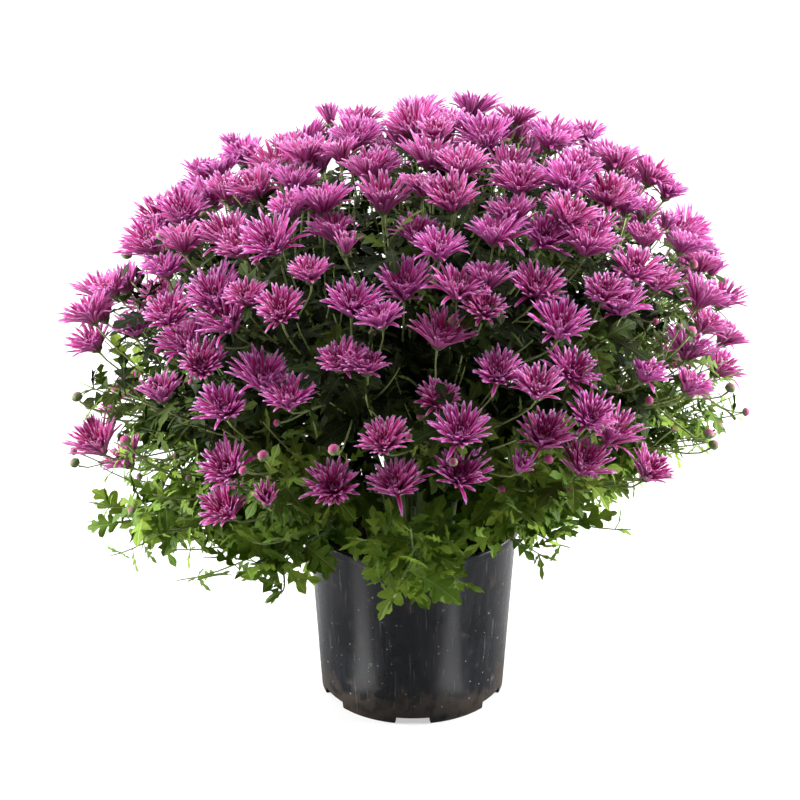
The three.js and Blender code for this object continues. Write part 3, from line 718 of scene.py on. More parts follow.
# %% Leaves
def finish_leaves():
    tree, shader = new_finish("leaf", Specular_IOR_Level=0.10)
    _, (along, half, side) = kept(tree, "place")
    _, (low, own, _) = kept(tree, "trait")
    patches = use_group(tree, unevenness, {"Scale": 45.0, "Fine Share": 0.45})
    # The kept trait low paints light and shade into the leaf colour: near black for painted shade in the
    # crown, pale for painted light at the skirt.
    young_with_painted_light = blend_colours(tree, low, colour(0.016, 0.028, 0.005), colour(0.215, 0.362, 0.031))
    old_with_painted_light = blend_colours(tree, low, colour(0.006, 0.012, 0.002), colour(0.134, 0.245, 0.021))
    blade = blend_colours(tree, patches["Mask"], old_with_painted_light, young_with_painted_light)
    width = maths(tree, "ABSOLUTE", half)
    rib = stretch(tree, width, 0.022, 0.004)
    slant = maths(tree, "SUBTRACT", along, maths(tree, "MULTIPLY", width, 0.72))
    beat = maths(tree, "FRACT", maths(tree, "MULTIPLY", slant, 7.5))
    vein = stretch(tree, maths(tree, "ABSOLUTE", maths(tree, "SUBTRACT", beat, 0.5)), 0.10, 0.0)
    lines = maths(tree, "MAXIMUM", rib, maths(tree, "MULTIPLY", vein, 0.5))
    # The paler veins also carry that painted shade in the crown and painted light at the skirt.
    pale = blend_colours(tree, low, colour(0.034, 0.056, 0.011), colour(0.27, 0.38, 0.09))
    veined = blend_colours(tree, maths(tree, "MULTIPLY", lines, 0.6), blade, pale)
    behind = stretch(tree, side, 0.0, -0.6)
    under = blend_colours(tree, 0.35, veined, colour(0.09, 0.14, 0.03))
    both = blend_colours(tree, behind, veined, under)
    value = stretch(tree, own, 0.0, 1.0, 0.72, 1.28)
    hue = stretch(tree, own, 0.0, 1.0, 0.512, 0.488)
    tuned = add_node(tree, "HueSaturation", {"Hue": hue, "Value": value, "Color": both})
    tree.links.new(tuned.outputs[0], shader.inputs["Base Color"])
    rough = stretch(tree, patches["Fine"], 0.3, 0.7, 0.48, 0.68)
    tree.links.new(rough, shader.inputs["Roughness"])
    height = maths(tree, "SUBTRACT", maths(tree, "MULTIPLY", patches["Fine"], 0.5), lines)
    bump(tree, shader, height, 0.55, 0.0005)


# %% Stems, bracts and buds
def finish_green(name, fresh, aged, line_count, tinge=None):
    """A ribbed green skin. tinge colours its far end, as on a bud that shows its petals."""
    tree, shader = new_finish(name, Specular_IOR_Level=0.25, Sheen_Weight=0.06, Sheen_Roughness=0.6)
    place, (along, _, _) = kept(tree, "place")
    _, (_, own, _) = kept(tree, "trait")
    lines = use_group(tree, ribbing, {"Place": place, "Lines": line_count})["Height"]
    patches = use_group(tree, unevenness, {"Scale": 90.0, "Fine Share": 0.5})
    skin = blend_colours(tree, patches["Mask"], aged, fresh)
    if tinge:
        ragged = maths(tree, "ADD", along, maths(tree, "MULTIPLY", maths(tree, "SUBTRACT", lines, 0.5), 0.9))
        ripe = maths(tree, "ADD", ragged, maths(tree, "MULTIPLY", own, 0.4))
        skin = blend_colours(tree, stretch(tree, ripe, 0.66, 1.05), skin, tinge)
    value = stretch(tree, own, 0.0, 1.0, 0.8, 1.2)
    tuned = add_node(tree, "HueSaturation", {"Value": value, "Color": skin})
    tree.links.new(tuned.outputs[0], shader.inputs["Base Color"])
    rough = stretch(tree, patches["Fine"], 0.3, 0.7, 0.5, 0.7)
    tree.links.new(rough, shader.inputs["Roughness"])
    bump(tree, shader, lines, 0.6, 0.0006)


finish_petals()
finish_leaves()
finish_green("stem", colour(0.13, 0.185, 0.055), colour(0.075, 0.12, 0.035), 3.0)
finish_green("stalk", colour(0.30, 0.37, 0.13), colour(0.20, 0.27, 0.08), 3.0)
finish_green("bract", colour(0.20, 0.25, 0.10), colour(0.10, 0.15, 0.05), 4.0)
finish_green("bud", colour(0.25, 0.32, 0.12), colour(0.16, 0.22, 0.08), 5.0, colour(0.42, 0.045, 0.20))
print("finishes", sorted(finishes))

# %% [markdown]
# ## Blooms
# Each bloom is a cup of narrow strap petals in rings: the outer rings spread wide and a few of them hang,
# the inner rings stand up, and the youngest petals curl over the heart. One cup could be modelled once
# and copied, but then every copy would show the same gaps. Here each petal draws its own lean, length,
# twist and bend, and only the rings' rules are shared.

# %% Rings of petals
# petals, first lean, last lean (degrees), length by the bloom's radius, width, share towards the heart
OPEN_RINGS = (
    (17, 42, 63, 1.08, 3.4, 0.0),
    (17, 36, 53, 1.14, 3.4, 0.08),
    (17, 30, 44, 1.06, 3.3, 0.2),
    (16, 24, 34, 0.92, 3.1, 0.4),
    (15, 26, 12, 0.66, 2.8, 0.62),
    (12, 30, -14, 0.50, 2.5, 0.82),
    (10, 22, -40, 0.40, 2.3, 1.0),
)
HALF_RINGS = (
    (10, 26, 38, 1.42, 3.0, 0.1),
    (10, 17, 27, 1.36, 3.0, 0.3),
    (8, 9, 15, 1.20, 2.7, 0.55),
    (4, 4, 2, 0.95, 2.3, 0.9),
)
PETAL_STATIONS = (0, 0.3, 0.62, 0.9, 1)
PETAL_OUTLINE = (0.55, 0.88, 1.0, 0.74, 0.22)
INNER_STATIONS = (0, 0.4, 0.84, 1)
INNER_OUTLINE = (0.55, 0.96, 0.88, 0.28)
HEART_STATIONS = (0, 0.55, 1)
HEART_OUTLINE = (0.6, 1.0, 0.55)
STRAGGLERS = 0.18         # share of the outermost petals that hang
PETAL_SEED = 1000
print("petals in an open bloom", sum(ring[0] for ring in OPEN_RINGS))


def frame_along(heading):
    """Two directions across a heading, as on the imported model's blooms."""
    first = np.cross(UP, heading)
    if np.linalg.norm(first) < 1e-2:
        first = np.cross(np.array([1.0, 0, 0]), heading)
    first = unit(first)
    return first, np.cross(heading, first)


def spokes(turn, first, second):
    """Directions at those angles round from first towards second."""
    return np.cos(turn)[:, None] * first + np.sin(turn)[:, None] * second


def petal_rings(flower):
    """All petals of one flower, one set for each ring."""
    luck = np.random.default_rng(PETAL_SEED + flower["index"])
    radius = flower["radius"]
    facing = flower["facing"]
    right, ahead = frame_along(facing)
    rings = OPEN_RINGS if flower["kind"] == "open" else HALF_RINGS
    openness = luck.uniform(0.84, 1.08)
    tone = luck.uniform()
    lopsided = luck.uniform(0, 0.2)
    heavy_side = luck.uniform(0, TAU)
    sets = []
    for r, (count, first, last, long, wide, depth) in enumerate(rings):
        spread = luck.uniform(-0.5, 0.5, count) * 0.5
        turn = flower["spin"] + TAU * (np.arange(count) + 0.5 * (r % 2) + spread) / count
        out = spokes(turn, right, ahead)
        lean = np.radians(np.array([first, last]) * openness + luck.normal(0, 6, (count, 2)))
        if r == 0 and flower["kind"] == "open":
            hanging = luck.uniform(size=count) < STRAGGLERS
            lean[hanging, 1] += np.radians(luck.uniform(25, 60, hanging.sum()))
        stations, outline = PETAL_STATIONS, PETAL_OUTLINE
        if depth > 0.05:
            stations, outline = INNER_STATIONS, INNER_OUTLINE
        if depth > 0.8:
            stations, outline = HEART_STATIONS, HEART_OUTLINE
        uneven = 1 + lopsided * np.cos(turn - heavy_side)
        foot = radius * mix(0.15, 0.05, depth)
        root = flower["base"] + facing * mix(2.5, 4.5, depth) + out * foot
        sets.append(make_straps(
            root, np.broadcast_to(facing, (count, 3)), out, lean,
            radius * long * uneven * luck.uniform(0.84, 1.08, count),
            wide * luck.uniform(0.85, 1.15, count) * mix(0.8, 1.0, radius / BLOOM_RADIUS),
            "petal",
            np.stack([np.full(count, depth), luck.uniform(size=count), np.full(count, tone)], -1),
            stations, outline,
            cup=0.6, twist=luck.normal(0, 0.3, count), sway=luck.normal(0, 0.06, count), curl=1.3))
    return sets


# %% Calyx and bracts
CALYX_PROFILE = ((-1.5, 1.2), (0, 2.6), (1.8, 4.4), (3.6, 4.7), (4.4, 3.2))
BRACT_COUNT = 9
CALYX_SIDES = 8
CALYX_SEED = 5000


def calyx(flower):
    """The green cup that holds the petals, with its narrow bracts."""
    luck = np.random.default_rng(CALYX_SEED + flower["index"])
    facing = flower["facing"]
    right, ahead = frame_along(facing)
    size = mix(0.75, 1.0, min(1.0, flower["radius"] / BLOOM_RADIUS))
    rise = np.array([level for level, _ in CALYX_PROFILE]) * size
    path = flower["base"] + facing * rise[:, None]
    radius = np.array([[across for _, across in CALYX_PROFILE]]) * size
    trait = np.array([[0.5, luck.uniform(), 0.5]])
    cup = make_tubes(path[None], radius, CALYX_SIDES, "bract", trait)
    turn = TAU * (np.arange(BRACT_COUNT) + luck.uniform(-0.2, 0.2, BRACT_COUNT)) / BRACT_COUNT
    out = spokes(turn, right, ahead)
    lean = np.radians(np.stack([luck.uniform(55, 75, BRACT_COUNT), luck.uniform(8, 35, BRACT_COUNT)], -1))
    bracts = make_straps(
        flower["base"] + out * 2.2 * size, np.broadcast_to(facing, (BRACT_COUNT, 3)), out, lean,
        size * luck.uniform(5.5, 8.0, BRACT_COUNT), size * luck.uniform(2.2, 3.0, BRACT_COUNT),
        "bract", np.stack([np.full(BRACT_COUNT, 0.5), luck.uniform(size=BRACT_COUNT),
                           np.full(BRACT_COUNT, 0.5)], -1),
        (0, 0.5, 1), (0.8, 1, 0.25), cup=0.3)
    return [cup, bracts]


# %% Buds
BUD_PROFILE = ((0, 0.30), (0.22, 0.72), (0.55, 0.97), (0.95, 1.0), (1.3, 0.82), (1.55, 0.50), (1.66, 0.16))
BUD_SIDES = 8
BUD_BRACTS = 7


def buds(base, facing, radius, seed):
    """Closed buds: a ribbed globe each, with bracts that hug its lower half."""
    count = len(base)
    luck = np.random.default_rng(seed)
    rise = np.array([level for level, _ in BUD_PROFILE])
    path = base[:, None] + facing[:, None] * (rise[None, :, None] * radius[:, None, None])
    rings = np.array([across for _, across in BUD_PROFILE])[None] * radius[:, None]
    trait = luck.uniform(size=(count, 3))
    globes = make_tubes(path, rings, BUD_SIDES, "bud", trait)
    each = BUD_BRACTS
    total = count * each
    frames = [frame_along(way) for way in facing]
    right = np.repeat([pair[0] for pair in frames], each, 0)
    ahead = np.repeat([pair[1] for pair in frames], each, 0)
    turn = TAU * np.tile(np.arange(each), count) / each + np.repeat(luck.uniform(0, 6, count), each)
    out = spokes(turn, right, ahead)
    size = np.repeat(radius, each)
    lean = np.radians(np.stack([luck.uniform(70, 85, total), luck.uniform(-22, 0, total)], -1))
    bracts = make_straps(
        np.repeat(base, each, 0) + out * (0.30 * size)[:, None], np.repeat(facing, each, 0), out, lean,
        size * luck.uniform(1.3, 1.7, total), size * 0.62, "bract", np.repeat(trait, each, 0),
        (0, 0.3, 0.65, 1), (0.7, 1, 0.85, 0.25), cup=0.2, thickness=0.4)
    return [globes, bracts]


# %% [markdown]
# ## Stalks
# A stem splits into slender stalks under its flowers, each bent by its own weight and pale against the
# dark leaves. A straight rod would look wired, so each stalk is a smooth curve that leaves along the
# stem and arrives along the flower's own axis. Some carry a small side bud.

# %% Stems and stalks of one spray
STEM_RINGS = 18
STEM_SIDES = 6
STEM_BOTTOM = 118         # height of the stem's lower end, in the soil
STEM_BEND = 153           # height where it stops being upright
FAN_RADIUS = 70           # distance from the fan centre where it follows its heading
WANDER = 9
STALK_RINGS = 9
STALK_SIDES = 5
TWIG_SIDES = 4
SIDE_BUDS = 0.5           # share of the stalks that carry a side bud
SIDE_BUD_RINGS = 6
SIDE_BUD_SEED = 9000


def on_stem(stem, share):
    return FAN_CENTRE + stem["heading"] * stem["reach"] * share


def main_stem(stem, end_share, thickness, tip_thickness):
    """Upright out of the soil, then out along the heading, with a slight wander."""
    heading = stem["heading"]
    turn = math.atan2(heading[1], heading[0])
    foot = np.array([stem["foot"] * math.cos(turn), stem["foot"] * math.sin(turn), 0])
    side, _ = frame_along(heading)
    wander = WANDER * (draw(stem["seed"], 15) - 0.5)
    knots = np.array([
        foot + UP * STEM_BOTTOM,
        foot + UP * STEM_BEND,
        FAN_CENTRE + heading * FAN_RADIUS,
        on_stem(stem, mix(0.27, end_share, 0.45)) + side * wander,
        on_stem(stem, end_share)])
    measure = np.concatenate([[0], np.cumsum(np.linalg.norm(np.diff(knots, axis=0), axis=1))])
    slopes = np.gradient(knots, measure, axis=0)
    where = np.linspace(0, measure[-1], STEM_RINGS)
    span = np.clip(np.searchsorted(measure, where, side="right") - 1, 0, len(knots) - 2)
    size = (measure[span + 1] - measure[span])[:, None]
    s = (where - measure[span])[:, None] / size
    path = smooth_curve(s, size, knots[span], slopes[span], knots[span + 1], slopes[span + 1])
    radius = np.linspace(thickness, tip_thickness, STEM_RINGS)[None]
    trait = np.array([[0.5, draw(stem["seed"], 16), 0.5]])
    return make_tubes(path[None], radius, STEM_SIDES, "stem", trait)


def stalks(stem, luck):
    """One stalk to each flower, as curves and as tubes."""
    flowers = stem["flowers"]
    count = len(flowers)
    base = np.array([flower["base"] for flower in flowers])
    facing = np.array([flower["facing"] for flower in flowers])
    share = luck.uniform(0.46, 0.72, count)
    root = FAN_CENTRE + stem["heading"] * (stem["reach"] * share)[:, None]
    leave = np.broadcast_to(stem["heading"], (count, 3)) * luck.uniform(0.5, 0.9, count)[:, None]
    paths = bow(root, leave, base - facing, facing * luck.uniform(0.35, 0.6, count)[:, None], STALK_RINGS)
    thick = np.linspace(1.1, 0.8, STALK_RINGS)[None] * luck.uniform(0.85, 1.1, count)[:, None]
    thick[:, -1] *= 1.5
    trait = luck.uniform(size=(count, 3))
    return paths, make_tubes(paths, thick, STALK_SIDES, "stalk", trait)


def side_buds(paths, luck, seed):
    """Small green buds on short twigs of their own, below some of the flowers: twigs, then buds."""
    chosen = np.flatnonzero(luck.uniform(size=len(paths)) < SIDE_BUDS)
    if len(chosen) == 0:
        return [], []
    at = luck.integers(3, 7, len(chosen))
    root = paths[chosen, at]
    way = unit(paths[chosen, at + 1] - paths[chosen, at])
    aside = unit(np.cross(way, unit(luck.normal(size=(len(chosen), 3)))))
    end_way = unit(way + 0.35 * aside + 0.35 * UP)
    onward = luck.uniform(18, 38, len(chosen))[:, None]
    end = root + way * onward + aside * luck.uniform(9, 20, len(chosen))[:, None]
    curve = bow(root, unit(way + 0.9 * aside), end, end_way, SIDE_BUD_RINGS)
    radius = np.full((len(chosen), SIDE_BUD_RINGS), 0.8)
    tubes = make_tubes(curve, radius, TWIG_SIDES, "stalk", luck.uniform(size=(len(chosen), 3)))
    globes = buds(end, end_way, luck.uniform(2.6, 4.3, len(chosen)), SIDE_BUD_SEED + seed)
    return [tubes], globes


# %% [markdown]
# ## Leaves
# The leaves grow one by one up the stem, a golden angle apart, with the broad lobed ones low down and
# narrow ones among the flowers. Those at the skirt hang, and the rest reach out to the light. Each leaf
# blade is a thin closed form whose edge has the blunt lobes, so its outline is real and not painted.

# %% Leaves of one stem
def leaf_rows(stem, luck, count, levels, lengths, hang, ahead=(0.35, 0.75), lowest=(-0.35, -0.35)):
    """Where count leaves stand on a stem, their headings, faces and lengths. Pairs are the values at
    its foot and at its tip."""
    side, other = frame_along(stem["heading"])
    share = np.linspace(0, 1, count) + luck.uniform(-0.5, 0.5, count) / count
    level = mix(levels[0], levels[1], share)
    turn = np.arange(count) * GOLDEN_ANGLE + TAU * draw(stem["seed"], 12)
    outward = spokes(turn, side, other)
    outward[:, 2] = np.maximum(outward[:, 2], mix(*lowest, share))
    forward = luck.uniform(ahead[0], ahead[1], count)[:, None]
    down = (mix(*hang, share) * luck.uniform(0.6, 1.3, count))[:, None]
    heading = unit(forward * stem["heading"] + 0.9 * outward - down * UP)
    face = unit(UP + 0.5 * stem["heading"] + 0.5 * luck.normal(size=(count, 3)))
    root = FAN_CENTRE + stem["heading"] * (stem["reach"] * level)[:, None] + outward * 1.5
    length = mix(lengths[0], lengths[1], share) * luck.uniform(0.85, 1.12, count)
    return root, heading, face, length, level


def leaf_set(kind, rows, luck, low, droop=(0.3, 1.0), broad=(0.9, 1.1)):
    """Leaves of one kind on those rows. low is 0 in the shade of the crown and 1 at the skirt. It also
    sets their colour: painted shade darkens the crown's leaves and painted light pales the skirt's.
    """
    root, heading, face, length, level = rows
    count = len(root)
    # painted_lightness is the painted light or shade of each leaf: low with a little random spread.
    painted_lightness = np.clip(low + luck.normal(0, 0.15, count), 0, 1)
    trait = np.stack([painted_lightness, luck.uniform(size=count), level], -1)
    return make_blades(
        kind, root, heading, face, length, luck.uniform(*droop, count), luck.uniform(0.0, 0.5, count),
        luck.normal(0, 0.10, count), trait, luck.uniform(*broad, count))


def stalk_leaves(paths, luck, low, steps):
    """Narrow leaves on stalks or twigs. Each step is the place on the stalk, the kind, and the
    shortest and longest leaf there, with the share of its full breadth."""
    sets = []
    for at, kind, lengths, broad in steps:
        count = len(paths)
        way = unit(paths[:, at + 1] - paths[:, at])
        aside = unit(np.cross(way, unit(luck.normal(size=(count, 3)))))
        aside[:, 2] = np.maximum(aside[:, 2], -0.3)
        heading = unit(way * luck.uniform(0.3, 0.8, count)[:, None] + aside - 0.1 * UP)
        face = unit(way + 0.4 * UP + 0.3 * luck.normal(size=(count, 3)))
        rows = (paths[:, at], heading, face, luck.uniform(*lengths, count), np.full(count, 0.8))
        sets.append(leaf_set(kind, rows, luck, low, broad=broad))
    return sets


STALK_STEPS = (
    (1, "slim", (36, 46), (1.0, 1.35)), (2, "slim", (34, 44), (1.0, 1.3)),
    (3, "slim", (30, 40), (0.9, 1.2)), (4, "slim", (22, 32), (0.7, 1.0)),
    (5, "line", (14, 24), (0.9, 1.3)), (6, "line", (10, 18), (0.8, 1.1)),
)
TWIG_STEPS = (
    (1, "slim", (36, 46), (1.0, 1.35)), (2, "slim", (34, 44), (1.0, 1.3)),
    (3, "slim", (32, 42), (1.0, 1.3)), (4, "slim", (28, 38), (0.9, 1.2)),
    (5, "slim", (24, 34), (0.8, 1.1)), (6, "slim", (20, 30), (0.7, 1.0)),
    (7, "line", (16, 26), (0.9, 1.3)), (7, "line", (14, 24), (0.9, 1.2)),
    (7, "line", (12, 22), (0.9, 1.2)),
)


def twigs(stem, luck, count, from_shares, to_shares, aside_reach, sag):
    """Leafy side twigs that bear no flower and fill the room between the stems."""
    side, other = frame_along(stem["heading"])
    turn = TAU * (np.arange(count) + luck.uniform(-0.3, 0.3, count)) / count + TAU * draw(stem["seed"], 14)
    outward = spokes(turn, side, other)
    outward[:, 2] = np.maximum(outward[:, 2], -0.15)
    from_share = luck.uniform(*from_shares, count)[:, None]
    to_share = luck.uniform(*to_shares, count)[:, None]
    root = FAN_CENTRE + stem["heading"] * stem["reach"] * from_share
    aside = outward * luck.uniform(0.5, 1.0, count)[:, None] * aside_reach
    fall = UP * sag * luck.uniform(0.3, 1, count)[:, None]
    end = FAN_CENTRE + stem["heading"] * stem["reach"] * to_share + aside - fall
    paths = bow(root, unit(stem["heading"] + 0.7 * outward), end,
                unit(stem["heading"] + 0.5 * outward + 0.2 * UP), STALK_RINGS)
    thick = np.linspace(1.3, 0.6, STALK_RINGS)[None] * np.ones((count, 1))
    return paths, make_tubes(paths, thick, TWIG_SIDES, "stalk", luck.uniform(size=(count, 3)))


print("leaves on a stalk", len(STALK_STEPS), "and on a twig", len(TWIG_STEPS))


# %% Grow the sprays
SPRAY_SEED = 200
BUD_SEED = 7000


def grow_spray(spray):
    """The leafy part and the flowering part of one stem."""
    luck = np.random.default_rng(SPRAY_SEED + spray["seed"])
    # low is how far down the dome the stem ends. It shapes the leaves and also paints their colour: painted
    # shade high in the crown, painted light at the skirt.
    low = float(smooth(spray["fall"], math.radians(60), math.radians(105)))
    green = [main_stem(spray, 0.78, 3.1, 1.7)]
    hang = mix(0.05, 0.25, low)
    rows = leaf_rows(spray, luck, 12, (0.26, 0.62), (54, 46), (hang, hang))
    green.append(leaf_set("broad", rows, luck, low, broad=(0.8, 1.0)))
    rows = leaf_rows(spray, luck, 38 + round(4 * low), (0.46, 0.93), (49, 39), (hang * 0.6, hang * 0.6))
    green.append(leaf_set("slim", rows, luck, low * 0.8, broad=(1.05, 1.35)))
    twig_paths, twig_tubes = twigs(
        spray, luck, 7 + round(7 * low), (0.4, 0.7), (0.80, mix(0.94, 1.0, low)), mix(68, 80, low), 4 * low)
    green.append(twig_tubes)
    green += stalk_leaves(twig_paths, luck, low * 0.8, TWIG_STEPS)
    pink = []
    if spray["flowers"]:
        paths, tubes = stalks(spray, luck)
        green.append(tubes)
        green += stalk_leaves(paths, luck, low * 0.7, STALK_STEPS)
        side_tubes, globes = side_buds(paths, luck, spray["seed"])
        green += side_tubes
        pink += globes
        for flower in spray["flowers"]:
            if flower["kind"] == "bud":
                pink += buds(flower["base"][None], flower["facing"][None], np.array([flower["radius"]]),
                             BUD_SEED + flower["index"])
            else:
                pink += petal_rings(flower)
                pink += calyx(flower)
    make_piece(spray["name"] + "_leaves", green, spray["name"])
    if pink:
        make_piece(spray["name"] + "_blooms", pink, spray["name"])


for spray in sprays:
    grow_spray(spray)
print("sprays", sum(piece_faces.values()), "triangles")

# %% Grow the shoots
SHOOT_SEED = 400


def grow_shoot(shoot):
    """A shoot without flowers, whose broad leaves hang as the fringe round the pot."""
    luck = np.random.default_rng(SHOOT_SEED + shoot["seed"])
    parts = [main_stem(shoot, 0.86, 2.9, 1.5)]
    hang = (0.55, mix(0.1, -0.4, shoot["beside"]))
    droop = (0.3, mix(1.0, 0.5, shoot["beside"]))
    lowest = (-0.35, mix(-0.35, 0.2, shoot["beside"]))
    rows = leaf_rows(shoot, luck, 18, (0.33, 0.88), (50, 48), hang, ahead=(0.3, 0.7), lowest=lowest)
    # These fringe leaves take 0.8 and 0.75 for low, so their colour carries the skirt's painted light.
    parts.append(leaf_set("broad", rows, luck, 0.8, droop, (0.85, 1.1)))
    hang = (0.0, hang[1])
    rows = leaf_rows(shoot, luck, 12, (0.55, 0.98), (48, 46), hang, ahead=(0.5, 1.0), lowest=lowest)
    parts.append(leaf_set("broad", rows, luck, 0.8, droop, (0.85, 1.05)))
    paths, tubes = twigs(shoot, luck, 7, (0.4, 0.8), (0.85, 1.12), 65, 2)
    parts.append(tubes)
    parts += stalk_leaves(paths, luck, 0.75, TWIG_STEPS)
    make_piece(shoot["name"] + "_leaves", parts, shoot["name"])


for shoot in shoots:
    grow_shoot(shoot)
print("with shoots", sum(piece_faces.values()), "triangles")

# %% [markdown]
# ## Pot and soil
# The pot is a thin black nursery pot, moulded in one piece, with a rolled rim, a raised floor and six
# notches in its foot. A turned profile gives its round form. The notches could be cut with booleans, but
# lifting the foot's rows of points in those places keeps the mesh clean and gives the cuts soft corners.

# %% Pot profile
POT_HEIGHT = 175
RIM_RADIUS = 101.6
BASE_RADIUS = 88
WALL = 1.8
RIM_PROUD = 2.4
FLOOR_TOP = 9.2
FOOT_INSIDE = 83
NOTCH_COUNT = 6
NOTCH_WIDTH = 33
NOTCH_HEIGHT = 6
FOOT_REACH = 14           # height up to which the foot's points lift into a notch
OUTSIDE_ROWS = 20         # rows of the profile that belong to the foot and the outside of the wall
POT_COLUMNS = 120
SOIL_TOP = 150
GAP = 0.35                # clear space between the soil and the pot


def wall_radius(z):
    return mix(BASE_RADIUS, RIM_RADIUS - RIM_PROUD, z / POT_HEIGHT)


def pot_profile():
    """Radius and height of each row of points, from the floor's underside round to its top."""
    rows = [(30, 7), (62, 7), (79, 7), (82.2, 6.7), (FOOT_INSIDE, 5.9), (FOOT_INSIDE, 3), (FOOT_INSIDE, 0.7),
            (FOOT_INSIDE + 0.7, 0), (87.0, 0), (87.8, 0.3), (88.1, 1.1)]
    levels = (3, 5, 7, 10, 14, 20, 28, 40, 55, 70, 85, 100, 115, 130, 145, 157, 164)
    rows += [(wall_radius(z), z) for z in levels]
    rows += [(wall_radius(165.6) + 0.1, 165.6), (99.4, 166.1), (100.8, 166.3), (101.4, 166.9), (101.6, 168),
             (101.6, 171), (101.6, 173.2), (101.2, 174.3), (100.2, 174.9), (99.0, 175.0), (98.2, 174.7),
             (97.6, 173.8)]
    rows += [(wall_radius(z) - WALL, z) for z in (171, 165, 158, 152, 146, 120, 80, 40, 16)]
    rows += [(86.2, 11.0), (85.0, 9.6), (82.5, FLOOR_TOP), (62, FLOOR_TOP), (30, FLOOR_TOP)]
    return np.array(rows, float)


print("rows of the pot", len(pot_profile()))

# %% Pot mesh
def pot_turns():
    """Column angles: evenly spaced, with five close ones at each edge of a notch."""
    half = math.asin(NOTCH_WIDTH / 2 / BASE_RADIUS)
    close = np.array([-0.009, -0.004, 0.0, 0.004, 0.009])
    turns = list(TAU * np.arange(POT_COLUMNS) / POT_COLUMNS)
    for i in range(NOTCH_COUNT):
        middle = -math.pi / 2 + TAU * i / NOTCH_COUNT
        for edge in (middle - half, middle + half):
            turns = [t for t in turns if abs((t - edge + math.pi) % TAU - math.pi) > 0.02]
            turns += [(edge + step) % TAU for step in close]
    return np.sort(np.array(turns) % TAU), half


def make_pot():
    """The profile turned round the axis, with its foot lifted where the notches are."""
    turns, half = pot_turns()
    rows = pot_profile()
    away = np.abs((turns[:, None] + math.pi / 2 - TAU * np.arange(NOTCH_COUNT) / NOTCH_COUNT
                   + math.pi) % TAU - math.pi).min(1)
    lift = NOTCH_HEIGHT * (1 - smooth(away, half - 0.006, half + 0.006))
    radius = rows[:, 0][:, None] * np.ones(len(turns))
    level = rows[:, 1][:, None] * np.ones(len(turns))
    foot = level < FOOT_REACH
    on_foot = (rows[:, 0] > FOOT_INSIDE - 1) & (np.arange(len(rows)) < OUTSIDE_ROWS)
    raised = lift[None] * np.clip(1 - level / FOOT_REACH, 0, 1)
    level = np.where(foot & on_foot[:, None], level + raised, level)
    points = np.stack([radius * np.cos(turns), radius * np.sin(turns), level], -1)
    count = len(turns)
    grid = np.arange(len(rows) * count).reshape(len(rows), count)
    right = np.roll(grid, -1, axis=1)
    quads = np.stack([grid[:-1], right[:-1], right[1:], grid[1:]], -1).reshape(-1, 4)
    under, above = grid.size, grid.size + 1
    tris = np.concatenate([
        np.stack([right[0], grid[0], np.full(count, under)], -1),
        np.stack([grid[-1], right[-1], np.full(count, above)], -1)])
    points = np.concatenate([points.reshape(-1, 3), [[0, 0, 7], [0, 0, FLOOR_TOP]]])
    place = np.stack([points[:, 2] / POT_HEIGHT, np.zeros(len(points)), np.zeros(len(points))], -1)
    return make_piece("nursery_pot", [part(points, quads, tris, "pot plastic", place, place)],
                      "pot")


# %% [markdown]
# ## Finish of the pot
# Black polypropylene is never quite black: it has a blue-grey cast, fine scratches from stacking, dried
# water spots, pale dust, and brown splashes of soil near the foot. Each is a mask of its own, so the gloss
# can drop where dust lies and the colour can turn brown where mud has dried.

# %% Specks group, shared by the pot and the soil
def build_specks():
    """Small round specks of different sizes on part of a surface."""
    group, given, out = new_group(
        "specks", {"Scale": ("Float", 100.0), "Size": ("Float", 0.12), "Share": ("Float", 0.3)},
        {"Mask": "Float"})
    where = add_node(group, "TexCoord").outputs["Object"]
    cells = add_node(group, "TexVoronoi", {"Vector": where, "Scale": given["Scale"]})
    pick = add_node(group, "SeparateColor", {0: cells.outputs["Color"]}).outputs
    size = maths(group, "MULTIPLY", given["Size"], maths(group, "ADD", pick[1], 0.4))
    dot = maths(group, "LESS_THAN", cells.outputs["Distance"], size)
    chosen = maths(group, "LESS_THAN", pick[0], given["Share"])
    group.links.new(maths(group, "MULTIPLY", dot, chosen), out["Mask"])
    return group


specks = build_specks()
print("groups", [group.name for group in bpy.data.node_groups])

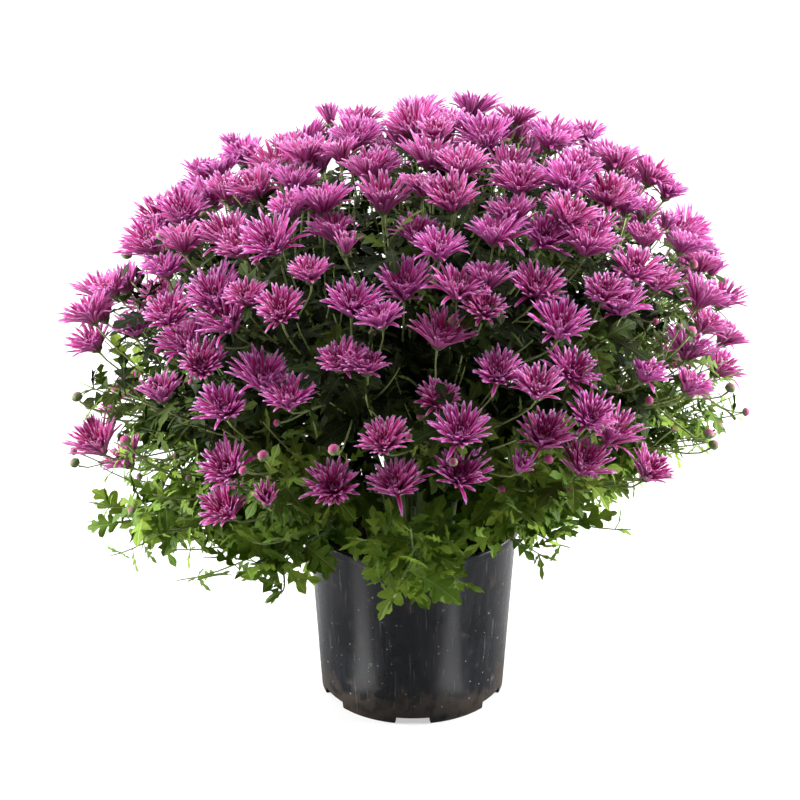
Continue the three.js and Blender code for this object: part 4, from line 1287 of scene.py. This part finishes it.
# %% Pot plastic
def finish_pot():
    tree, shader = new_finish("pot plastic", Specular_IOR_Level=0.18)
    where = add_node(tree, "TexCoord").outputs["Object"]
    height = add_node(tree, "SeparateXYZ", {0: where}).outputs[2]
    patches = use_group(tree, unevenness, {"Scale": 14.0, "Fine Share": 0.35})
    dust = use_group(tree, specks, {"Scale": 230.0, "Size": 0.16, "Share": 0.16})
    drops = use_group(tree, specks, {"Scale": 60.0, "Size": 0.14, "Share": 0.12})
    long = add_node(tree, "Mapping", {"Vector": where, "Scale": (1.0, 1.0, 0.12)}).outputs[0]
    streaks = add_node(tree, "TexNoise", {"Vector": long, "Scale": 160.0, "Detail": 4.0}).outputs[0]
    scratch_way = add_node(tree, "Mapping", {
        "Vector": where, "Rotation": (0.35, 0.2, 0.0), "Scale": (1.0, 1.0, 0.04)}).outputs[0]
    scratches = add_node(tree, "TexNoise", {"Vector": scratch_way, "Scale": 420.0, "Detail": 1.0}).outputs[0]
    scratched = stretch(tree, scratches, 0.68, 0.74)
    plastic = blend_colours(
        tree, patches["Mask"], colour(0.0040, 0.0043, 0.0055), colour(0.0070, 0.0075, 0.0096))
    film = stretch(tree, streaks, 0.42, 0.72)
    hazy = blend_colours(tree, maths(tree, "MULTIPLY", film, 0.12), plastic, colour(0.045, 0.047, 0.055))
    foot_zone = stretch(tree, height, 0.055, 0.0)
    mud_mask = stretch(tree, maths(tree, "ADD", patches["Fine"], maths(tree, "MULTIPLY", foot_zone, 0.35)),
                       0.58, 0.86)
    muddy = blend_colours(tree, maths(tree, "MULTIPLY", mud_mask, 0.45), hazy, colour(0.066, 0.048, 0.034))
    rubbed = blend_colours(tree, maths(tree, "MULTIPLY", scratched, 0.4), muddy, colour(0.10, 0.10, 0.105))
    dusty = maths(tree, "MULTIPLY", dust["Mask"], 0.55)
    dotted = blend_colours(tree, dusty, rubbed, colour(0.30, 0.29, 0.27))
    dried = maths(tree, "MULTIPLY", drops["Mask"], 0.25)
    spotted = blend_colours(tree, dried, dotted, colour(0.16, 0.16, 0.165))
    tree.links.new(spotted, shader.inputs["Base Color"])
    rough = stretch(tree, patches["Mask"], 0.0, 1.0, 0.24, 0.31)
    rough = maths(tree, "ADD", rough, maths(tree, "MULTIPLY", film, 0.08))
    rough = maths(tree, "ADD", rough, maths(tree, "MULTIPLY", mud_mask, 0.2))
    rough = maths(tree, "ADD", rough, maths(tree, "MULTIPLY", dust["Mask"], 0.3), True)
    tree.links.new(rough, shader.inputs["Roughness"])
    relief = maths(tree, "ADD", maths(tree, "MULTIPLY", dust["Mask"], 0.8),
                   maths(tree, "MULTIPLY", streaks, 0.25))
    bump(tree, shader, relief, 0.25, 0.0004)


finish_pot()
pot = make_pot()
print("pot", piece_faces["nursery_pot"], "triangles")

# %% [markdown]
# ## Soil
# Potting soil is peat with crumbs of bark and a few white grains of perlite. It is seen only in the gaps
# between the stems, so a rough disc with low relief is enough. A smooth cap would catch the light.

# %% Soil mesh
CRUMB_SEED = 77


def make_soil():
    """A filled disc of peat whose top is uneven, under the rim of the pot."""
    rings, columns = 26, 72
    radius_top = wall_radius(SOIL_TOP) - WALL - GAP
    bottom = FLOOR_TOP + GAP
    shares = np.linspace(0.04, 1, rings)
    turns = TAU * np.arange(columns) / columns
    luck = np.random.default_rng(CRUMB_SEED)
    crumbs = luck.normal(0, 1.3, (rings, columns))
    x = radius_top * shares[:, None] * np.cos(turns)
    y = radius_top * shares[:, None] * np.sin(turns)
    swell = 2.0 * np.sin(x / 17 + 1) * np.cos(y / 21)
    z = SOIL_TOP + swell + crumbs - 2.0
    z[-1] = SOIL_TOP - 1
    top = np.stack([x, y, z], -1)
    lower = np.array([[wall_radius(level) - WALL - GAP, level] for level in (100, 50, bottom)])
    walls = np.stack([lower[:, :1] * np.cos(turns), lower[:, :1] * np.sin(turns),
                      lower[:, 1:] * np.ones(columns)], -1)
    sheet = np.concatenate([top, walls])
    grid = np.arange(sheet.shape[0] * columns).reshape(-1, columns)
    right = np.roll(grid, -1, axis=1)
    quads = np.stack([grid[:-1], grid[1:], right[1:], right[:-1]], -1).reshape(-1, 4)
    crown, under = grid.size, grid.size + 1
    tris = np.concatenate([
        np.stack([grid[0], right[0], np.full(columns, crown)], -1),
        np.stack([right[-1], grid[-1], np.full(columns, under)], -1)])
    points = np.concatenate([sheet.reshape(-1, 3), [[0, 0, SOIL_TOP], [0, 0, bottom]]])
    zeros = np.zeros((len(points), 3))
    return make_piece("potting_soil", [part(points, quads, tris, "peat", zeros, zeros)], "soil")


def finish_soil():
    tree, shader = new_finish("peat", Specular_IOR_Level=0.2)
    patches = use_group(tree, unevenness, {"Scale": 90.0, "Fine Share": 0.6})
    grains = use_group(tree, specks, {"Scale": 130.0, "Size": 0.35, "Share": 0.06})
    chips = use_group(tree, specks, {"Scale": 90.0, "Size": 0.45, "Share": 0.2})
    peat = blend_colours(tree, patches["Mask"], colour(0.018, 0.011, 0.007), colour(0.060, 0.036, 0.022))
    bark = blend_colours(tree, chips["Mask"], peat, colour(0.095, 0.052, 0.028))
    flecked = blend_colours(tree, grains["Mask"], bark, colour(0.62, 0.60, 0.56))
    tree.links.new(flecked, shader.inputs["Base Color"])
    tree.links.new(stretch(tree, patches["Fine"], 0.3, 0.7, 0.8, 0.98), shader.inputs["Roughness"])
    bump(tree, shader, patches["Fine"], 0.9, 0.003)


finish_soil()
make_soil()
total = sum(piece_faces.values())
print("all pieces", len(piece_faces), "triangles", total, "largest", max(piece_faces.values()))

# %% [markdown]
# ## Studio
# The plant stands on a plain white table that runs out of view, under one large soft light overhead and
# a soft light at each side. The world fills in from all round, dimmer from the front so that the pot
# stays black. The upright bands in the glossy pot could be reflections of tall panels, but the leaves
# would hide those. Two thin strips that lie on the table and light the pot alone give the same bands.

# %% Floor
FLOOR_HALF = 14.0         # metres from the middle to each side


def make_floor():
    half = FLOOR_HALF
    mesh = bpy.data.meshes.new("studio_floor")
    corners = [(-half, -half, 0), (half, -half, 0), (half, half, 0), (-half, half, 0)]
    mesh.from_pydata(corners, [], [(0, 1, 2, 3)])
    floor = bpy.data.objects.new("studio_floor", mesh)
    bpy.context.scene.collection.objects.link(floor)
    tree, shader = new_finish("studio white", Roughness=0.9, Specular_IOR_Level=0.1, Emission_Strength=0.52)
    patches = use_group(tree, unevenness, {"Scale": 3.0, "Fine Share": 0.3})["Mask"]
    white = blend_colours(tree, patches, colour(0.50, 0.50, 0.50), colour(0.52, 0.52, 0.52))
    tree.links.new(white, shader.inputs["Base Color"])
    shader.inputs["Emission Color"].default_value = colour(1, 1, 1)
    seen = add_node(tree, "LightPath").outputs["Is Camera Ray"]
    plain = add_node(tree, "BsdfDiffuse", {"Color": colour(0.42, 0.42, 0.42)}).outputs[0]
    shown = add_node(tree, "MixShader", {0: seen, 1: plain, 2: shader.outputs[0]}).outputs[0]
    tree.links.new(shown, tree.nodes["Material Output"].inputs["Surface"])
    mesh.materials.append(finishes["studio white"])
    floor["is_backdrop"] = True


make_floor()

# %% Lights
def soft_light(name, place, target, width, height, watts):
    """A rectangular soft light at place that points at target."""
    lamp = bpy.data.lights.new(name, "AREA")
    lamp.shape = "RECTANGLE"
    lamp.size = width
    lamp.size_y = height
    lamp.energy = watts
    holder = bpy.data.objects.new(name, lamp)
    holder.location = place
    way = np.array(target, float) - np.array(place, float)
    pitch = math.atan2(math.hypot(way[0], way[1]), -way[2])
    holder.rotation_euler = (pitch, 0, math.atan2(way[1], way[0]) - math.pi / 2)
    bpy.context.scene.collection.objects.link(holder)
    return holder


soft_light("overhead", (0.0, 0.9, 2.5), (0.0, 0.0, 0.3), 2.8, 2.6, 98)
soft_light("left_window", (-1.8, 0.2, 0.7), (0.0, 0.0, 0.3), 1.2, 1.3, 82)
soft_light("right_window", (1.8, 0.2, 0.7), (0.0, 0.0, 0.3), 1.2, 1.3, 92)

# %% Strip lights for the pot alone
STRIP_LENGTH = 0.46
STRIP_WIDTH = 0.05
STRIP_HEIGHT = 0.003
STRIP_DISTANCE = 0.26     # from the point of the foot that it belongs to
STRIP_TILT = 0.01
pot_alone = bpy.data.collections.new("lit by strips")
pot_alone.objects.link(pot)
for name, foot, turn, watts in (("left_strip", (-0.049, -0.080), 207.3, 0.36),
                                ("right_strip", (0.0385, -0.0857), -41.6, 0.35)):
    way = np.array([math.cos(math.radians(turn)), math.sin(math.radians(turn)), 0.0])
    place = np.array([*foot, STRIP_HEIGHT]) + POT_AXIS + STRIP_DISTANCE * way
    strip = soft_light(name, place, place + STRIP_TILT * way + UP, STRIP_WIDTH, STRIP_LENGTH, watts)
    strip.visible_camera = False
    strip.light_linking.receiver_collection = pot_alone


def light_world():
    """White all round, dimmer from the front."""
    world = bpy.data.worlds.new("studio_air")
    bpy.context.scene.world = world
    world.use_nodes = True
    tree = world.node_tree
    where = add_node(tree, "TexCoord").outputs["Generated"]
    depth = add_node(tree, "SeparateXYZ", {0: where}).outputs[1]
    front = stretch(tree, depth, 0.1, -0.5, 1.05, 0.06)
    seen = add_node(tree, "LightPath").outputs["Is Camera Ray"]
    strength = add_node(tree, "Mix", {0: seen, 2: front, 3: 1.0}).outputs[0]
    tree.links.new(strength, tree.nodes["Background"].inputs["Strength"])
    tree.nodes["Background"].inputs["Color"].default_value = colour(1, 1, 1)


light_world()
print("lights", [lamp.name for lamp in bpy.data.lights])
bpy.context.scene.view_settings.view_transform = "Standard"

# %% Camera
LENS = 106.38
SENSOR = 36.0
DISTANCE = 2.2
ELEVATION = math.radians(22.52)
AIM_LEFT = 0.0121
AIM_HEIGHT = 0.2949
AIM = (POT_AXIS[0] - AIM_LEFT, POT_AXIS[1], AIM_HEIGHT)

lens = bpy.data.cameras.new("camera")
lens.lens = LENS
lens.sensor_width = SENSOR
lens.clip_start = 0.05
lens.clip_end = 60
camera = bpy.data.objects.new("camera", lens)
camera.location = (AIM[0], AIM[1] - DISTANCE * math.cos(ELEVATION), AIM[2] + DISTANCE * math.sin(ELEVATION))
camera.rotation_euler = (math.pi / 2 - ELEVATION, 0, 0)
bpy.context.scene.collection.objects.link(camera)
bpy.context.scene.camera = camera
print("camera", [round(value, 3) for value in camera.location])

# %% Sizes of the imported model and of the new one
model_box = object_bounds()
for name, (low, high) in (("cad", cad_box), ("model", model_box)):
    print(name, [round(1000 * (b - a), 1) for a, b in zip(low, high)], "mm",
          [round(1000 * a, 1) for a in low], [round(1000 * b, 1) for b in high])
